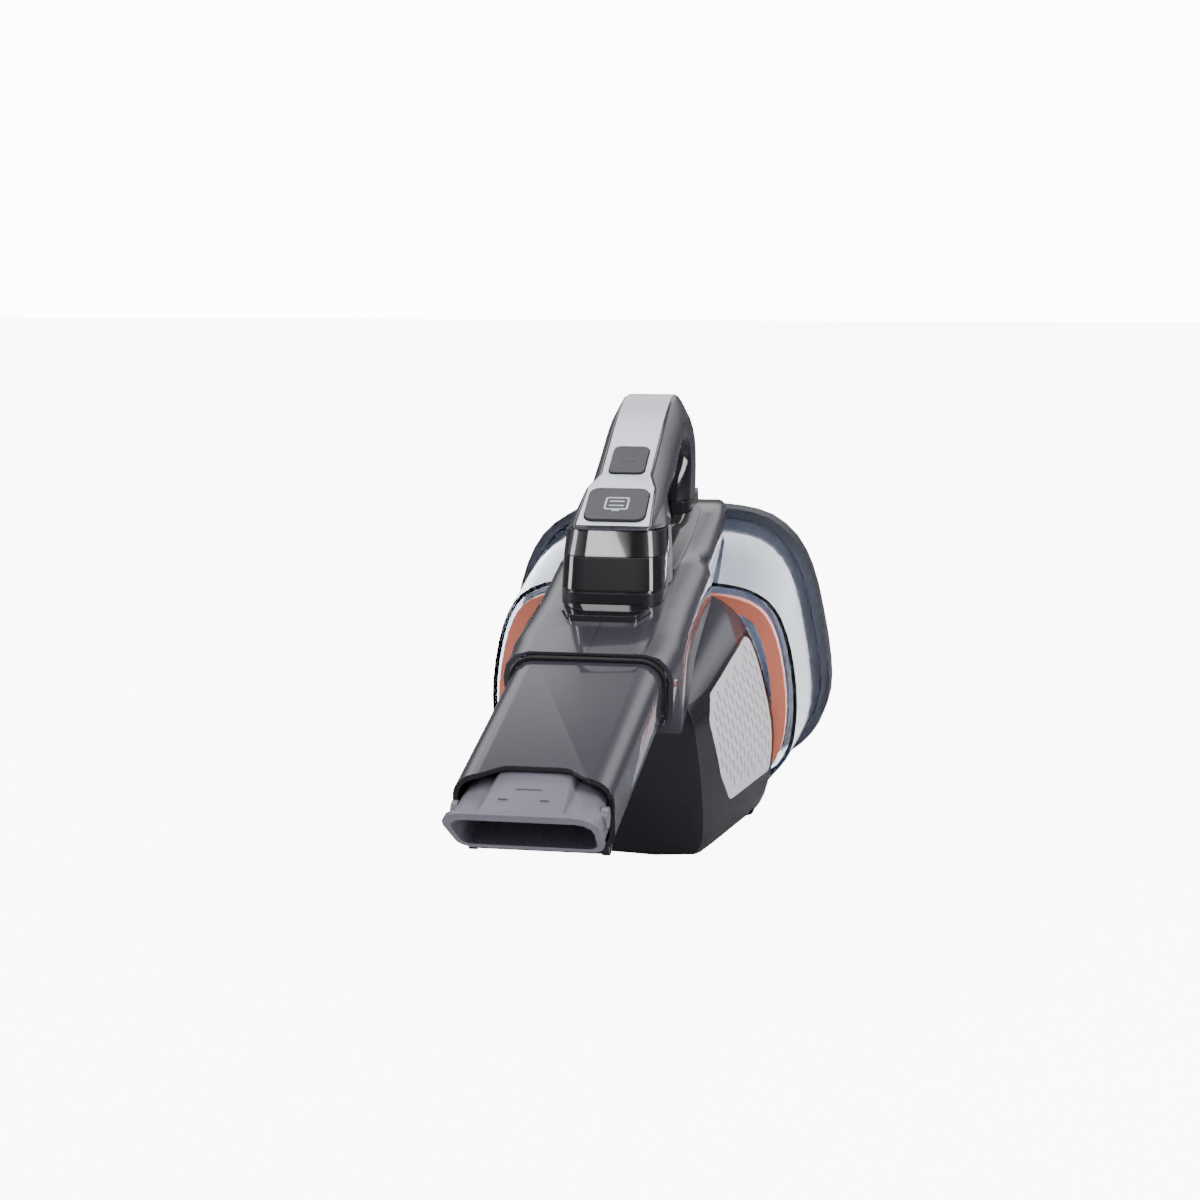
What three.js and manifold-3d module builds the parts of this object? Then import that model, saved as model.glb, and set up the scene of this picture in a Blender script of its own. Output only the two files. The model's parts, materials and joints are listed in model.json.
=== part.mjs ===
// Cordless hand vacuum: sliding crevice nozzle, flip brush, motor base, loop handle, clear dust bowl.
// Millimetres, +Z up, nozzle towards -Y. The model is built with the bowl's rear face near y = 0 and
// is moved at the end so that its origin is the centre of its footprint on the floor.
import * as THREE from "three";
import { mergeVertices } from "three/addons/utils/BufferGeometryUtils.js";
import Module from "manifold-3d";

const wasm = await Module();
wasm.setup();

// ---- driving dimensions ----
const GAP = 0.3; // between pieces that rest on each other
const RUN = 0.1; // radial clearance of a pin in its bore
const WALL = 2.4; // moulded shells
const SLOPE = 12; // nozzle and spine lean, degrees

const COLLAR_Y = -259; // front face of the spine's collar
const COLLAR_Z = 104; // top of the duct there
const DUCT_LENGTH = 118;
const DUCT_REAR_HALF = 33.4; // half widths
const DUCT_FRONT_HALF = 32;
const DUCT_HEIGHT = 30;
const DUCT_WALL = 2.2;
const NOTCH_HALF = 24.5; // thumb notch in the duct's front edge
const NOTCH_FLAT = 10.5;
const NOTCH_DEPTH = 9;
const SPIGOT_LENGTH = 58;

const TIP_REACH = 31.5; // upper lip ahead of the duct
const TIP_SETBACK = 25; // lower lip behind the upper lip
const TIP_TAIL = 84; // tail inside the duct
const TIP_WALL = 2;
const TIP_FIT = 0.5; // tip in duct
const TIP_TRAVEL = 60;

const BRUSH_SETBACK = 8; // hinge behind the duct's front edge
const BRUSH_HALF = 24.4; // half width of the flip brush
const BRUSH_LENGTH = 30; // hinge to the far side of the bar
const BARREL_R = 2.4;
const BRUSH_PIN_R = 1.4;
const LUG = 3; // thickness of the duct's hinge lugs
const TUFTS = 16;
const BOSS_R = 4.2; // round bosses on the tip's sides

const HOUSING_FRONT = -203;
const RING_Y = -113; // motor housing ends, bowl gasket starts
const BOWL_FRONT = -105;
const BOWL_WALL = 2;
const DOOR_FRONT = -24;
const DOOR_REAR = -3;
const DOOR_PLATE = 3.2;
const RIM = 4.6; // thickness of the door's rim
const BASE_Z = 1.5; // underside of the base above the floor, set by the feet

const SPINE_HALF = 38;
const POST_HALF = 23.2;
const HANDLE_HALF = 18;
const STRIP_HALF = 12.6;
const STRIP_DEEP = 1.6;

const MOTOR_R = 21;
const MOTOR_REAR = -134;
const MOTOR_LENGTH = 52;
const SHAFT_R = 2;
const FAN_R = 27;
const FAN_BLADES = 9;
const FAN_DEEP = 10;
const FAN_REAR = RING_Y - 4;
const CELL_R = 9.2;
const CELL_LENGTH = 65;
const CELL_REAR = FAN_REAR - FAN_DEEP - GAP;
const CELLS = 4;
const CELL_PITCH = 2 * CELL_R + 0.5;
const CELL_Z = BASE_Z + WALL + 2 + CELL_R;
const MOTOR_Z = CELL_Z + CELL_R + 25.7; // the fan clears the cells

const FILTER_R = 27;
const FILTER_LENGTH = 52;
const PLEATS = 20;
const DIAL_R = 27;
const DIAL_Z = 66;

const POWER_TRAVEL = 1.2;
const LATCH_TRAVEL = 1.6;
const SLIDER_TRAVEL = 4;

// ---- finishes ----
const finish = (color, roughness, metalness = 0, opacity = 1) => ({ color, roughness, metalness, opacity });
const TITANIUM = finish(0x8c8b9c, 0.22, 0.25);
const PALE = finish(0xa9a8bd, 0.35);
const SILVER = finish(0xd6d9e4, 0.3, 0.2);
const BLACK_GLOSS = finish(0x14141a, 0.08);
const BLACK_SATIN = finish(0x22222a, 0.4);
const RIM_GREY = finish(0x484a58, 0.35);
const KEY_GREY = finish(0x5c5e6c, 0.4);
const VENT_PALE = finish(0xe4e6ee, 0.35);
const CLEAR = finish(0xc4cde0, 0.08, 0, 0.35);
const SALMON = finish(0xe0725c, 0.5);
const RUBBER = finish(0x1c1c1e, 0.8);
const STEEL = finish(0xb8babd, 0.3, 1);
const BRASS = finish(0xc9a45a, 0.35, 1);
const CELL_WRAP = finish(0x3a6f9c, 0.4);
const BOARD = finish(0x2f6a45, 0.6);
const PAPER = finish(0xe9e6da, 0.9);

// ---- solids ----
function solid(geometry) {
  const g = geometry.index ? geometry.toNonIndexed() : geometry.clone();
  g.deleteAttribute("normal");
  g.deleteAttribute("uv");
  const m = mergeVertices(g, 1e-4);
  return new wasm.Manifold(
    new wasm.Mesh({
      numProp: 3,
      vertProperties: new Float32Array(m.attributes.position.array),
      triVerts: new Uint32Array(m.index.array),
    }),
  );
}

const rad = (deg) => (deg * Math.PI) / 180;

// Triangles that close a ring of points, wound as the ring is.
function capOf(ring) {
  const normal = new THREE.Vector3();
  ring.forEach((p, i) => {
    const q = ring[(i + 1) % ring.length];
    normal.x += (p[1] - q[1]) * (p[2] + q[2]);
    normal.y += (p[2] - q[2]) * (p[0] + q[0]);
    normal.z += (p[0] - q[0]) * (p[1] + q[1]);
  });
  const size = [Math.abs(normal.x), Math.abs(normal.y), Math.abs(normal.z)];
  const drop = size.indexOf(Math.max(...size));
  const [u, v] = [0, 1, 2].filter((k) => k !== drop);
  const flat = ring.map((p) => new THREE.Vector2(p[u], p[v]));
  const turn = Math.sign(THREE.ShapeUtils.area(flat));
  return THREE.ShapeUtils.triangulateShape(flat, []).map(([a, b, c]) => {
    const area = THREE.ShapeUtils.area([flat[a], flat[b], flat[c]]);
    return Math.sign(area) === turn ? [a, b, c] : [a, c, b];
  });
}

// A solid through rings of points; every ring has the same number of points.
function loft(rings) {
  const n = rings[0].length;
  const faces = [];
  for (let k = 0; k < rings.length - 1; k++) {
    for (let i = 0; i < n; i++) {
      const j = (i + 1) % n;
      faces.push([k * n + i, k * n + j, (k + 1) * n + j]);
      faces.push([k * n + i, (k + 1) * n + j, (k + 1) * n + i]);
    }
  }
  const last = (rings.length - 1) * n;
  capOf(rings[0]).forEach(([a, b, c]) => faces.push([a, c, b]));
  capOf(rings[rings.length - 1]).forEach(([a, b, c]) => faces.push([last + a, last + b, last + c]));
  const points = rings.flat();
  const volume = faces.reduce((sum, [a, b, c]) => {
    const [p, q, r] = [points[a], points[b], points[c]].map((t) => new THREE.Vector3(...t));
    return sum + p.dot(q.cross(r));
  }, 0);
  const g = new THREE.BufferGeometry();
  g.setAttribute("position", new THREE.Float32BufferAttribute(points.flat(), 3));
  g.setIndex(faces.flatMap(([a, b, c]) => (volume > 0 ? [a, b, c] : [a, c, b])));
  return solid(g);
}

function box(x0, x1, y0, y1, z0, z1) {
  const g = new THREE.BoxGeometry(x1 - x0, y1 - y0, z1 - z0);
  g.translate((x0 + x1) / 2, (y0 + y1) / 2, (z0 + z1) / 2);
  return solid(g);
}

// A cylinder or cone along X, Y or Z.
function round(axis, r0, r1, from, to, centre, sides = 24) {
  const g = new THREE.CylinderGeometry(r1, r0, to - from, sides);
  g.translate(0, (from + to) / 2, 0);
  if (axis === "x") g.rotateZ(-Math.PI / 2);
  if (axis === "z") g.rotateX(Math.PI / 2);
  g.translate(...centre);
  return solid(g);
}

// A plate along X of an outline in the (y, z) plane.
const plateX = (outline, x0, x1) =>
  loft([x0, x1].map((x) => outline.map(([y, z]) => [x, y, z])));

// A polygon with rounded corners as [x, h] points; corners are [x, h, radius].
function rounded(corners, steps = 3) {
  const out = [];
  corners.forEach(([x, h, r], i) => {
    const at = new THREE.Vector2(x, h);
    const before = corners[(i + corners.length - 1) % corners.length];
    const after = corners[(i + 1) % corners.length];
    const p = new THREE.Vector2(before[0], before[1]).sub(at).normalize();
    const q = new THREE.Vector2(after[0], after[1]).sub(at).normalize();
    const half = Math.acos(THREE.MathUtils.clamp(p.dot(q), -1, 1)) / 2;
    const reach = r / Math.tan(half);
    const centre = p.clone().add(q).normalize().multiplyScalar(r / Math.sin(half)).add(at);
    const a = p.clone().multiplyScalar(reach).add(at).sub(centre).angle();
    const b = q.clone().multiplyScalar(reach).add(at).sub(centre).angle();
    let sweep = b - a;
    if (sweep > Math.PI) sweep -= 2 * Math.PI;
    if (sweep < -Math.PI) sweep += 2 * Math.PI;
    for (let k = 0; k <= steps; k++) {
      const t = a + (sweep * k) / steps;
      out.push([centre.x + r * Math.cos(t), centre.y + r * Math.sin(t)]);
    }
  });
  return out;
}

// A rounded trapezoid between two heights, symmetric about x = 0.
const trapezoid = (top, bottom, halfTop, halfBottom, rTop, rBottom, steps = 3) =>
  rounded(
    [
      [halfTop, top, rTop],
      [halfBottom, bottom, rBottom],
      [-halfBottom, bottom, rBottom],
      [-halfTop, top, rTop],
    ],
    steps,
  );

// A smooth closed outline through a right-hand half given from the top centre to the bottom centre.
function outline(half, per = 2) {
  const right = half.map(([x, z]) => new THREE.Vector3(x, 0, z));
  const left = half.slice(1, -1).reverse().map(([x, z]) => new THREE.Vector3(-x, 0, z));
  const curve = new THREE.CatmullRomCurve3([...right, ...left], true, "centripetal");
  const count = (right.length + left.length) * per;
  return Array.from({ length: count }, (_, i) => {
    const p = curve.getPoint(i / count);
    return [p.x, p.z];
  });
}

// Moves a half outline inwards by d along its own normals.
function inset(half, d) {
  return half.map(([x, z], i) => {
    const a = half[Math.max(i - 1, 0)];
    const b = half[Math.min(i + 1, half.length - 1)];
    const t = new THREE.Vector2(b[0] - a[0], b[1] - a[1]).normalize();
    if (i === 0) return [0, z - d];
    if (i === half.length - 1) return [0, z + d];
    return [x + t.y * d, z - t.x * d];
  });
}

const mixHalf = (a, b, t) => a.map(([x, z], i) => [x + (b[i][0] - x) * t, z + (b[i][1] - z) * t]);

const at = (section, y) => section.map(([x, z]) => [x, y, z]);

// Nozzle frame: s runs forward along the duct from the collar, n is the height above its top line.
const COS = Math.cos(rad(SLOPE));
const SIN = Math.sin(rad(SLOPE));
const nozzle = (x, s, n) => [x, COLLAR_Y - s * COS - n * SIN, COLLAR_Z - s * SIN + n * COS];
const atS = (section, s) => section.map(([x, n]) => nozzle(x, s, n));
const lineZ = (y) => COLLAR_Z + (y - COLLAR_Y) * Math.tan(rad(SLOPE));

function blockS(x0, x1, s0, s1, n0, n1) {
  const ring = (s) => [nozzle(x0, s, n0), nozzle(x1, s, n0), nozzle(x1, s, n1), nozzle(x0, s, n1)];
  return loft([ring(s0), ring(s1)]);
}

// A plate along X of an outline in the nozzle's (s, n) plane.
const plateS = (shape, x0, x1) => loft([x0, x1].map((x) => shape.map(([s, n]) => nozzle(x, s, n))));

function pinX(s, n, r, x0, x1, sides = 24) {
  const [, y, z] = nozzle(0, s, n);
  return round("x", r, r, x0, x1, [0, y, z], sides);
}

const mirrored = (body) => body.mirror([1, 0, 0]);

const root = new THREE.Group();
const tipGroup = new THREE.Group();
const handleGroup = new THREE.Group();
const bowlGroup = new THREE.Group();
const baseGroup = new THREE.Group();
root.add(tipGroup, handleGroup, bowlGroup, baseGroup);

function add(group, name, body, look) {
  const m = body.getMesh();
  const g = new THREE.BufferGeometry();
  g.setAttribute("position", new THREE.BufferAttribute(new Float32Array(m.vertProperties), 3));
  g.setIndex(new THREE.BufferAttribute(new Uint32Array(m.triVerts), 1));
  const material = new THREE.MeshStandardMaterial({
    color: look.color,
    roughness: look.roughness,
    metalness: look.metalness,
    opacity: look.opacity,
    transparent: look.opacity < 1,
    flatShading: true,
  });
  const mesh = new THREE.Mesh(g, material);
  mesh.name = name;
  group.add(mesh);
  return mesh;
}

// ---- nozzle duct with its spigot ----
const DUCT_TOP = -1.4; // below the collar's line
const DUCT_UNDER = DUCT_TOP - DUCT_HEIGHT;
const ductSection = (half, grow) =>
  trapezoid(DUCT_TOP + grow, DUCT_UNDER - grow, half + grow, half - 1 + grow, 10 + grow, 7 + grow, 7);

function ductBody(grow, from, to) {
  const half = (s) => DUCT_REAR_HALF + ((DUCT_FRONT_HALF - DUCT_REAR_HALF) * s) / DUCT_LENGTH;
  return loft([from, to].map((s) => atS(ductSection(half(s), grow), s)));
}

const SPIGOT_HALF = DUCT_REAR_HALF - 3.2;
const SPIGOT_UNDER = DUCT_UNDER + 2.6;
const spigotSection = (grow) =>
  trapezoid(-4.6 + grow, SPIGOT_UNDER - grow, SPIGOT_HALF + grow, SPIGOT_HALF - 1 + grow, 8 + grow, 6 + grow);
const spigot = (grow, from, to) => loft([from, to].map((s) => atS(spigotSection(grow), s)));

// The notch's front edge sweeps from its full depth in the middle to nothing at its ends.
const notchEdge = Array.from({ length: 21 }, (_, i) => {
  const x = NOTCH_HALF * (1 - i / 10);
  const t = THREE.MathUtils.smoothstep(Math.abs(x), NOTCH_FLAT, NOTCH_HALF);
  return [x, DUCT_LENGTH - NOTCH_DEPTH * (1 - t)];
});
const notchPlan = [...notchEdge, [-NOTCH_HALF, DUCT_LENGTH + 5], [NOTCH_HALF, DUCT_LENGTH + 5]];
const notch = loft([-9, 5].map((n) => notchPlan.map(([x, s]) => nozzle(x, s, n))));
const hingeS = DUCT_LENGTH - BRUSH_SETBACK;
const hingeN = DUCT_UNDER - BARREL_R - 0.6;
const LUG_X = BRUSH_HALF + 0.4;
const lug = plateS(
  [
    [hingeS - 7, DUCT_UNDER + 1],
    [hingeS + 5, DUCT_UNDER + 1],
    [hingeS + 3, hingeN - 1.5],
    [hingeS + 1.2, hingeN - 2.6],
    [hingeS - 1.2, hingeN - 2.6],
    [hingeS - 3, hingeN - 1.5],
  ],
  LUG_X,
  LUG_X + LUG,
);
const LUG_BORE_R = (BRUSH_PIN_R + RUN) / Math.cos(Math.PI / 16);
const boredLug = lug.subtract(pinX(hingeS, hingeN, LUG_BORE_R, LUG_X - 1, LUG_X + LUG + 1, 16));
const duct = ductBody(0, 0, DUCT_LENGTH)
  .add(boredLug)
  .add(mirrored(boredLug))
  .add(spigot(0, -SPIGOT_LENGTH, 1))
  .subtract(ductBody(-DUCT_WALL, DUCT_WALL, DUCT_LENGTH + 1))
  .subtract(spigot(-2, -SPIGOT_LENGTH - 1, DUCT_WALL + 1))
  .subtract(notch);
add(tipGroup, "nozzle_duct", duct, TITANIUM);

// ---- collar gasket between the duct and the spine ----
const GASKET = 1.1;
const gasket = ductBody(GAP + GASKET, -0.1, 3).subtract(ductBody(GAP, -1, 4));
add(tipGroup, "duct_gasket", gasket, RUBBER);

// ---- sliding tip ----
const TIP_HALF = DUCT_FRONT_HALF - DUCT_WALL - TIP_FIT;
const TIP_TOP = DUCT_TOP - DUCT_WALL - TIP_FIT; // top of the thumb pad in the duct
const TIP_SHOULDER = TIP_TOP - 3;
const TIP_BOTTOM = DUCT_UNDER + DUCT_WALL + TIP_FIT;
const MOUTH_S = DUCT_LENGTH + TIP_REACH; // upper lip
const LIP_N = -2.6;
const TIP_REAR = DUCT_LENGTH - TIP_TAIL;
const mouthSlope = TIP_SETBACK / (LIP_N - TIP_BOTTOM);
const mouthS = (n) => MOUTH_S + (n - LIP_N) * mouthSlope;
const ahead = (back) =>
  plateS(
    [
      [mouthS(10) - back, 10],
      [mouthS(-50) - back, -50],
      [MOUTH_S + 60, -50],
      [MOUTH_S + 60, 10],
    ],
    -50,
    50,
  );
const tipShell = (d) =>
  loft(
    [TIP_REAR - d, DUCT_LENGTH + 4, MOUTH_S + 12].map((s, k) =>
      atS(
        trapezoid(
          TIP_SHOULDER - d + (k === 2 ? 3 : 0),
          TIP_BOTTOM + d,
          TIP_HALF - d + (k === 2 ? 1 : 0),
          TIP_HALF - 1 - d,
          8 - d,
          6 - d,
        ),
        s,
      ),
    ),
  );
const pad = loft(
  [TIP_REAR, DUCT_LENGTH + 2, MOUTH_S + 12].map((s, k) =>
    atS(trapezoid(k === 2 ? LIP_N : TIP_TOP, TIP_SHOULDER - 3, 14 + k, 17 + k, 1.5, 1.5, 1), s),
  ),
);
const flangeSection = trapezoid(LIP_N, TIP_BOTTOM - 0.8, TIP_HALF + 1.8, TIP_HALF - 1, 9, 6, 4);
const flange = loft([TIP_REAR, MOUTH_S + 12].map((s) => atS(flangeSection, s)))
  .subtract(ahead(0))
  .intersect(ahead(3.6));
const BACK_HALF = TIP_HALF - 9;
const tipBack = blockS(-BACK_HALF, BACK_HALF, TIP_REAR - 1, TIP_REAR + 3, TIP_BOTTOM + 4, TIP_SHOULDER - 4);
let tip = tipShell(0)
  .add(pad)
  .subtract(ahead(0))
  .add(flange)
  .subtract(tipShell(TIP_WALL))
  .subtract(tipBack);
for (const side of [1, -1]) {
  const boss = pinX(DUCT_LENGTH + BOSS_R + 2.4, -14, BOSS_R, TIP_HALF - 1.5, TIP_HALF + 1, 20);
  tip = tip.add(side > 0 ? boss : mirrored(boss));
}
add(tipGroup, "nozzle_tip", tip, PALE);

// ---- flip brush ----
const BAR_TOP = hingeN + 1.6;
const BAR_BOTTOM = hingeN - 2.2;
const BAR_REAR = hingeS - BRUSH_LENGTH;
const brush = blockS(-BRUSH_HALF, BRUSH_HALF, BAR_REAR, hingeS, hingeN - 1.2, hingeN + 1.2)
  .subtract(blockS(-BRUSH_HALF + 8, BRUSH_HALF - 8, BAR_REAR + 10, hingeS - 5, hingeN - 3, hingeN + 3))
  .add(blockS(-BRUSH_HALF, BRUSH_HALF, BAR_REAR, BAR_REAR + 7, BAR_BOTTOM, BAR_TOP))
  .add(pinX(hingeS, hingeN, BARREL_R, -BRUSH_HALF, BRUSH_HALF, 20))
  .add(pinX(hingeS, hingeN, BRUSH_PIN_R, -LUG_X - LUG + 0.4, LUG_X + LUG - 0.4, 16));
const TUFT_HALF = BRUSH_HALF - 1.5;
const TUFT_ROOT = 2.4;
const TUFT_LOW = BAR_BOTTOM + 1.2;
const TUFT_HIGH = BAR_TOP - 1.2;
const tuftBlock = (x0, x1, from, to, grow = 0) =>
  blockS(x0 - grow, x1 + grow, BAR_REAR + from, BAR_REAR + to + grow, TUFT_LOW - grow, TUFT_HIGH + grow);
const tuftSlot = tuftBlock(-TUFT_HALF, TUFT_HALF, -1, TUFT_ROOT, GAP);
add(tipGroup, "brush_frame", brush.subtract(tuftSlot), BLACK_SATIN);
let tufts = tuftBlock(-TUFT_HALF, TUFT_HALF, -1, TUFT_ROOT);
const tuftPitch = (2 * TUFT_HALF) / TUFTS;
for (let i = 0; i < TUFTS; i++) {
  const x = -TUFT_HALF + (i + 0.15) * tuftPitch;
  tufts = tufts.add(tuftBlock(x, x + 0.7 * tuftPitch, -13, -0.5));
}
add(tipGroup, "brush_bristles", tufts, RUBBER);

// ---- spine: two shells joined on the centre plane ----
// [y, lower edge z, half width, top radius]
const SPINE = [
  [-236, 66.5, SPINE_HALF + 0.3, 12],
  [-222, 70, SPINE_HALF, 12],
  [-204, 80, SPINE_HALF - 0.4, 12],
  [-188, 90, SPINE_HALF - 0.8, 12],
  [-147, 103.5, SPINE_HALF - 0.6, 11],
  [-134, 107.8, SPINE_HALF - 0.4, 10.6],
  [-132.4, 108.4, SPINE_HALF - 2, 10.4],
  [-114, 114.5, SPINE_HALF - 2.2, 10],
  [-72, 130, SPINE_HALF - 3, 8],
  [-60, 134, SPINE_HALF - 3.4, 6],
  [-40, 138, SPINE_HALF - 4.5, 4],
  [-27, 140.5, SPINE_HALF - 7, 3.4], // the end wall, SPINE_END
];
const SPINE_END = -27;
const SPINE_TOP = 1.6; // above the duct's line
const SPINE_LEVEL = -60; // the top runs level behind this
const spineTopZ = (y) => lineZ(Math.min(y, SPINE_LEVEL)) + SPINE_TOP / COS;
function spineLoft(d, openBelow) {
  const low = DUCT_UNDER - GAP - GASKET - GAP - WALL;
  const front = (s) =>
    atS(trapezoid(SPINE_TOP - d, low + d, SPINE_HALF - d, SPINE_HALF - 2 - d, 12 - d, 9 - d), s);
  const rings = [front(d > 0 ? d : 0), front(-12)];
  SPINE.forEach(([y, low2, half, r], k) => {
    const bottom = openBelow && k > 0 ? low2 - 12 : low2 + d;
    const rb = Math.min(2.4, r - d);
    const last = k === SPINE.length - 1;
    const yy = last ? y - Math.max(d, 0) + (d < 0 ? -d : 0) : y;
    const top = spineTopZ(y) - d - (last ? 0.4 : 0);
    const under = Math.min(bottom, top - 5);
    rings.push(at(trapezoid(top, under, half - d, half - d, Math.max(r - d, 1.5), rb * 0.8), yy));
  });
  return loft(rings);
}
const spineOuter = spineLoft(0, false);
const spineInner = spineLoft(WALL, true);
const spineShell = spineOuter
  .subtract(spineInner)
  .subtract(ductBody(GAP + GASKET + GAP, -20, 20))
  .subtract(spigot(GAP, -SPIGOT_LENGTH - 2, 3));

// ---- release button at the foot of the front post ----
const LATCH_FRONT = -223;
const LATCH_REAR = -209.5;
const latchPlan = (grow, tall) => {
  const ring = (lift) =>
    rounded(
      [
        [21 + grow, LATCH_REAR + grow, 2],
        [15 + grow, LATCH_FRONT - grow, 5],
        [-15 - grow, LATCH_FRONT - grow, 5],
        [-21 - grow, LATCH_REAR + grow, 2],
      ],
      3,
    ).map(([x, y]) => [x, y, spineTopZ(y) + lift]);
  return loft([ring(tall[0]), ring(tall[1])]);
};
const latchHole = latchPlan(0.4, [-WALL - 3, 4]);
add(handleGroup, "release_button", latchPlan(0, [-WALL + 0.2, 2.6]), BLACK_GLOSS);

// ---- front post: two glossy collars on the spine ----
const postSection = (front, rear, half, r) =>
  rounded(
    [
      [half, front, r],
      [half, rear, 8],
      [-half, rear, 8],
      [-half, front, r],
    ],
    4,
  );
const POST_REAR = -158;
const POST = [
  [96, -208.5, POST_HALF + 0.6],
  [124, -207.5, POST_HALF + 0.3],
  [139.6, -204.5, POST_HALF],
  [151, -199.5, POST_HALF - 0.7],
];
const postRing = ([z, front, half], d) =>
  postSection(front + d, POST_REAR - d, half - d, 13 - d).map(([x, y]) => [x, y, z]);
const POST_SPLIT = 139.6;
const postBody = (d) => loft(POST.map((p) => postRing(p, d)));
const postAbove = box(-40, 40, -240, -140, POST_SPLIT + GAP / 2, 200);
const postBelow = box(-40, 40, -240, -140, 60, POST_SPLIT - GAP / 2);
const groove = postBody(-1).subtract(postBody(0.9)).intersect(box(-40, 40, -240, -140, 123.6, 124.6));
const postHollow = postBody(2.6);
const latchClear = latchPlan(0.4, [-8, 2.6 + LATCH_TRAVEL]);
// Everything under the spine's flat top, so that posts stand on it.
const seat = [-262, SPINE_LEVEL, -20].map((y) => [y, spineTopZ(y) + GAP]);
const underTop = plateX([...seat, [-20, 0], [-262, 0]], -60, 60);
const postLower = postBody(0)
  .subtract(postHollow)
  .intersect(postBelow)
  .subtract(groove)
  .subtract(underTop)
  .subtract(latchClear);
add(handleGroup, "front_post_lower", postLower, BLACK_GLOSS);
add(handleGroup, "front_post_upper", postBody(0).subtract(postHollow).intersect(postAbove), BLACK_GLOSS);

// ---- rear post ----
const REAR_POST_FRONT = -82;
const REAR_POST_REAR = -37.5;
const REAR_HALF = 19;
const REAR_TOP = 151.6; // at the post's front, rising with the spine towards the rear
const REAR_RISE = 3.6 / 45;
const rearSection = (grow, z, rise = 0) =>
  rounded(
    [
      [REAR_HALF + grow, REAR_POST_FRONT - grow, 8 + grow],
      [REAR_HALF + grow, REAR_POST_REAR + grow, 6 + grow],
      [-REAR_HALF - grow, REAR_POST_REAR + grow, 6 + grow],
      [-REAR_HALF - grow, REAR_POST_FRONT - grow, 8 + grow],
    ],
    3,
  ).map(([x, y]) => [x, y, z + (y - REAR_POST_FRONT) * rise]);
const rearPost = loft([rearSection(0.6, 120), rearSection(0, REAR_TOP, REAR_RISE)])
  .subtract(loft([rearSection(-2.2, 119), rearSection(-2.8, REAR_TOP + 1, REAR_RISE)]))
  .subtract(underTop);
add(handleGroup, "rear_post", rearPost, BLACK_GLOSS);

// ---- grip floor between the posts ----
// [y, half width]; its rear end reaches round the rear post's front corners.
const INSERT = [
  [POST_REAR + 0.4, 23],
  [-146, 24.2],
  [-108, 24.8],
  [REAR_POST_FRONT + 16, 23.4],
];
const INSERT_LIFT = 2; // top above the spine's flat top
const insertRing = ([y, half]) =>
  [
    [half, INSERT_LIFT - 1],
    [half - 1.5, INSERT_LIFT],
    [-half + 1.5, INSERT_LIFT],
    [-half, INSERT_LIFT - 1],
    [-half, GAP],
    [half, GAP],
  ].map(([x, lift]) => [x, y, spineTopZ(y) + lift]);
const rearClear = loft([rearSection(0.6 + GAP, 120), rearSection(0.6 + GAP, REAR_TOP)]);
add(handleGroup, "grip_floor", loft(INSERT.map(insertRing)).subtract(rearClear), BLACK_GLOSS);

// ---- handle: two shells, silver strip and two keys ----
// [top y, top z, under y, under z, half width, half width of the flat top]
const HANDLE = [
  [-199.6, 151.4, -158.5, 151.6, 22.4, 16.5],
  [-195.6, 152.9, -154, 152.5, 22.2, 18],
  [-170.5, 167.5, -149, 153.2, 20, 16.5],
  [-158, 172.5, -140, 155.5, HANDLE_HALF, STRIP_HALF],
  [-131, 187, -117, 163.5, HANDLE_HALF, STRIP_HALF],
  [-108, 198.5, -100, 173, HANDLE_HALF, STRIP_HALF],
  [-86, 205, -87, 178.5, HANDLE_HALF, STRIP_HALF],
  [-66, 202.5, -79.5, 175.5, HANDLE_HALF + 0.8, STRIP_HALF],
  [-48, 190, -80.5, 168, HANDLE_HALF + 1.6, 12],
  [-38.5, 172, -81.5, 160, HANDLE_HALF + 1.4, 11],
  [-36.5, 155.6, -82, 151.9, REAR_HALF, 10],
];
// The same table with smooth rows between, from the end of the keys back.
const CURVED_FROM = 4;
function smoothRows(rows, per) {
  const last = rows.length - 1;
  const ends = (i) => rows[THREE.MathUtils.clamp(i, 0, last)];
  const out = rows.slice(0, CURVED_FROM);
  for (let i = CURVED_FROM; i < last; i++) {
    for (let k = 0; k < per; k++) {
      const t = k / per;
      const [a, b, c, d] = [-1, 0, 1, 2].map((j) => ends(i + j));
      out.push(b.map((_, n) => {
        const bend = 2 * a[n] - 5 * b[n] + 4 * c[n] - d[n] + (3 * (b[n] - c[n]) + d[n] - a[n]) * t;
        return b[n] + 0.5 * t * (c[n] - a[n] + t * bend);
      }));
    }
  }
  return [...out, rows[last]];
}
const ROWS_PER = 2;
const HANDLE_ROWS = smoothRows(HANDLE, ROWS_PER);
function handleRing([ty, tz, by, bz, half, flat], d) {
  const long = Math.hypot(ty - by, tz - bz);
  const [uy, uz] = [(ty - by) / long, (tz - bz) / long];
  const section = rounded(
    [
      [flat - d * 0.6, long - d, 2],
      [half - d, long * 0.62, 6],
      [half - d, 7, 5],
      [half - 7 - d * 0.5, d, 4],
      [-half + 7 + d * 0.5, d, 4],
      [-half + d, 7, 5],
      [-half + d, long * 0.62, 6],
      [-flat + d * 0.6, long - d, 2],
    ],
    2,
  );
  return section.map(([x, h]) => [x, by + uy * h, bz + uz * h]);
}
const handleLoft = (d) => loft(HANDLE_ROWS.map((row) => handleRing(row, d)));
const handleOuter = handleLoft(0);
const handleInner = loft(
  HANDLE_ROWS.map((row, k) => {
    const end = k === 0 || k === HANDLE_ROWS.length - 1;
    return handleRing(end ? [row[0], row[1] - 1, row[2], row[3] - 1, row[4], row[5]] : row, 3.2);
  }),
);

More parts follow.
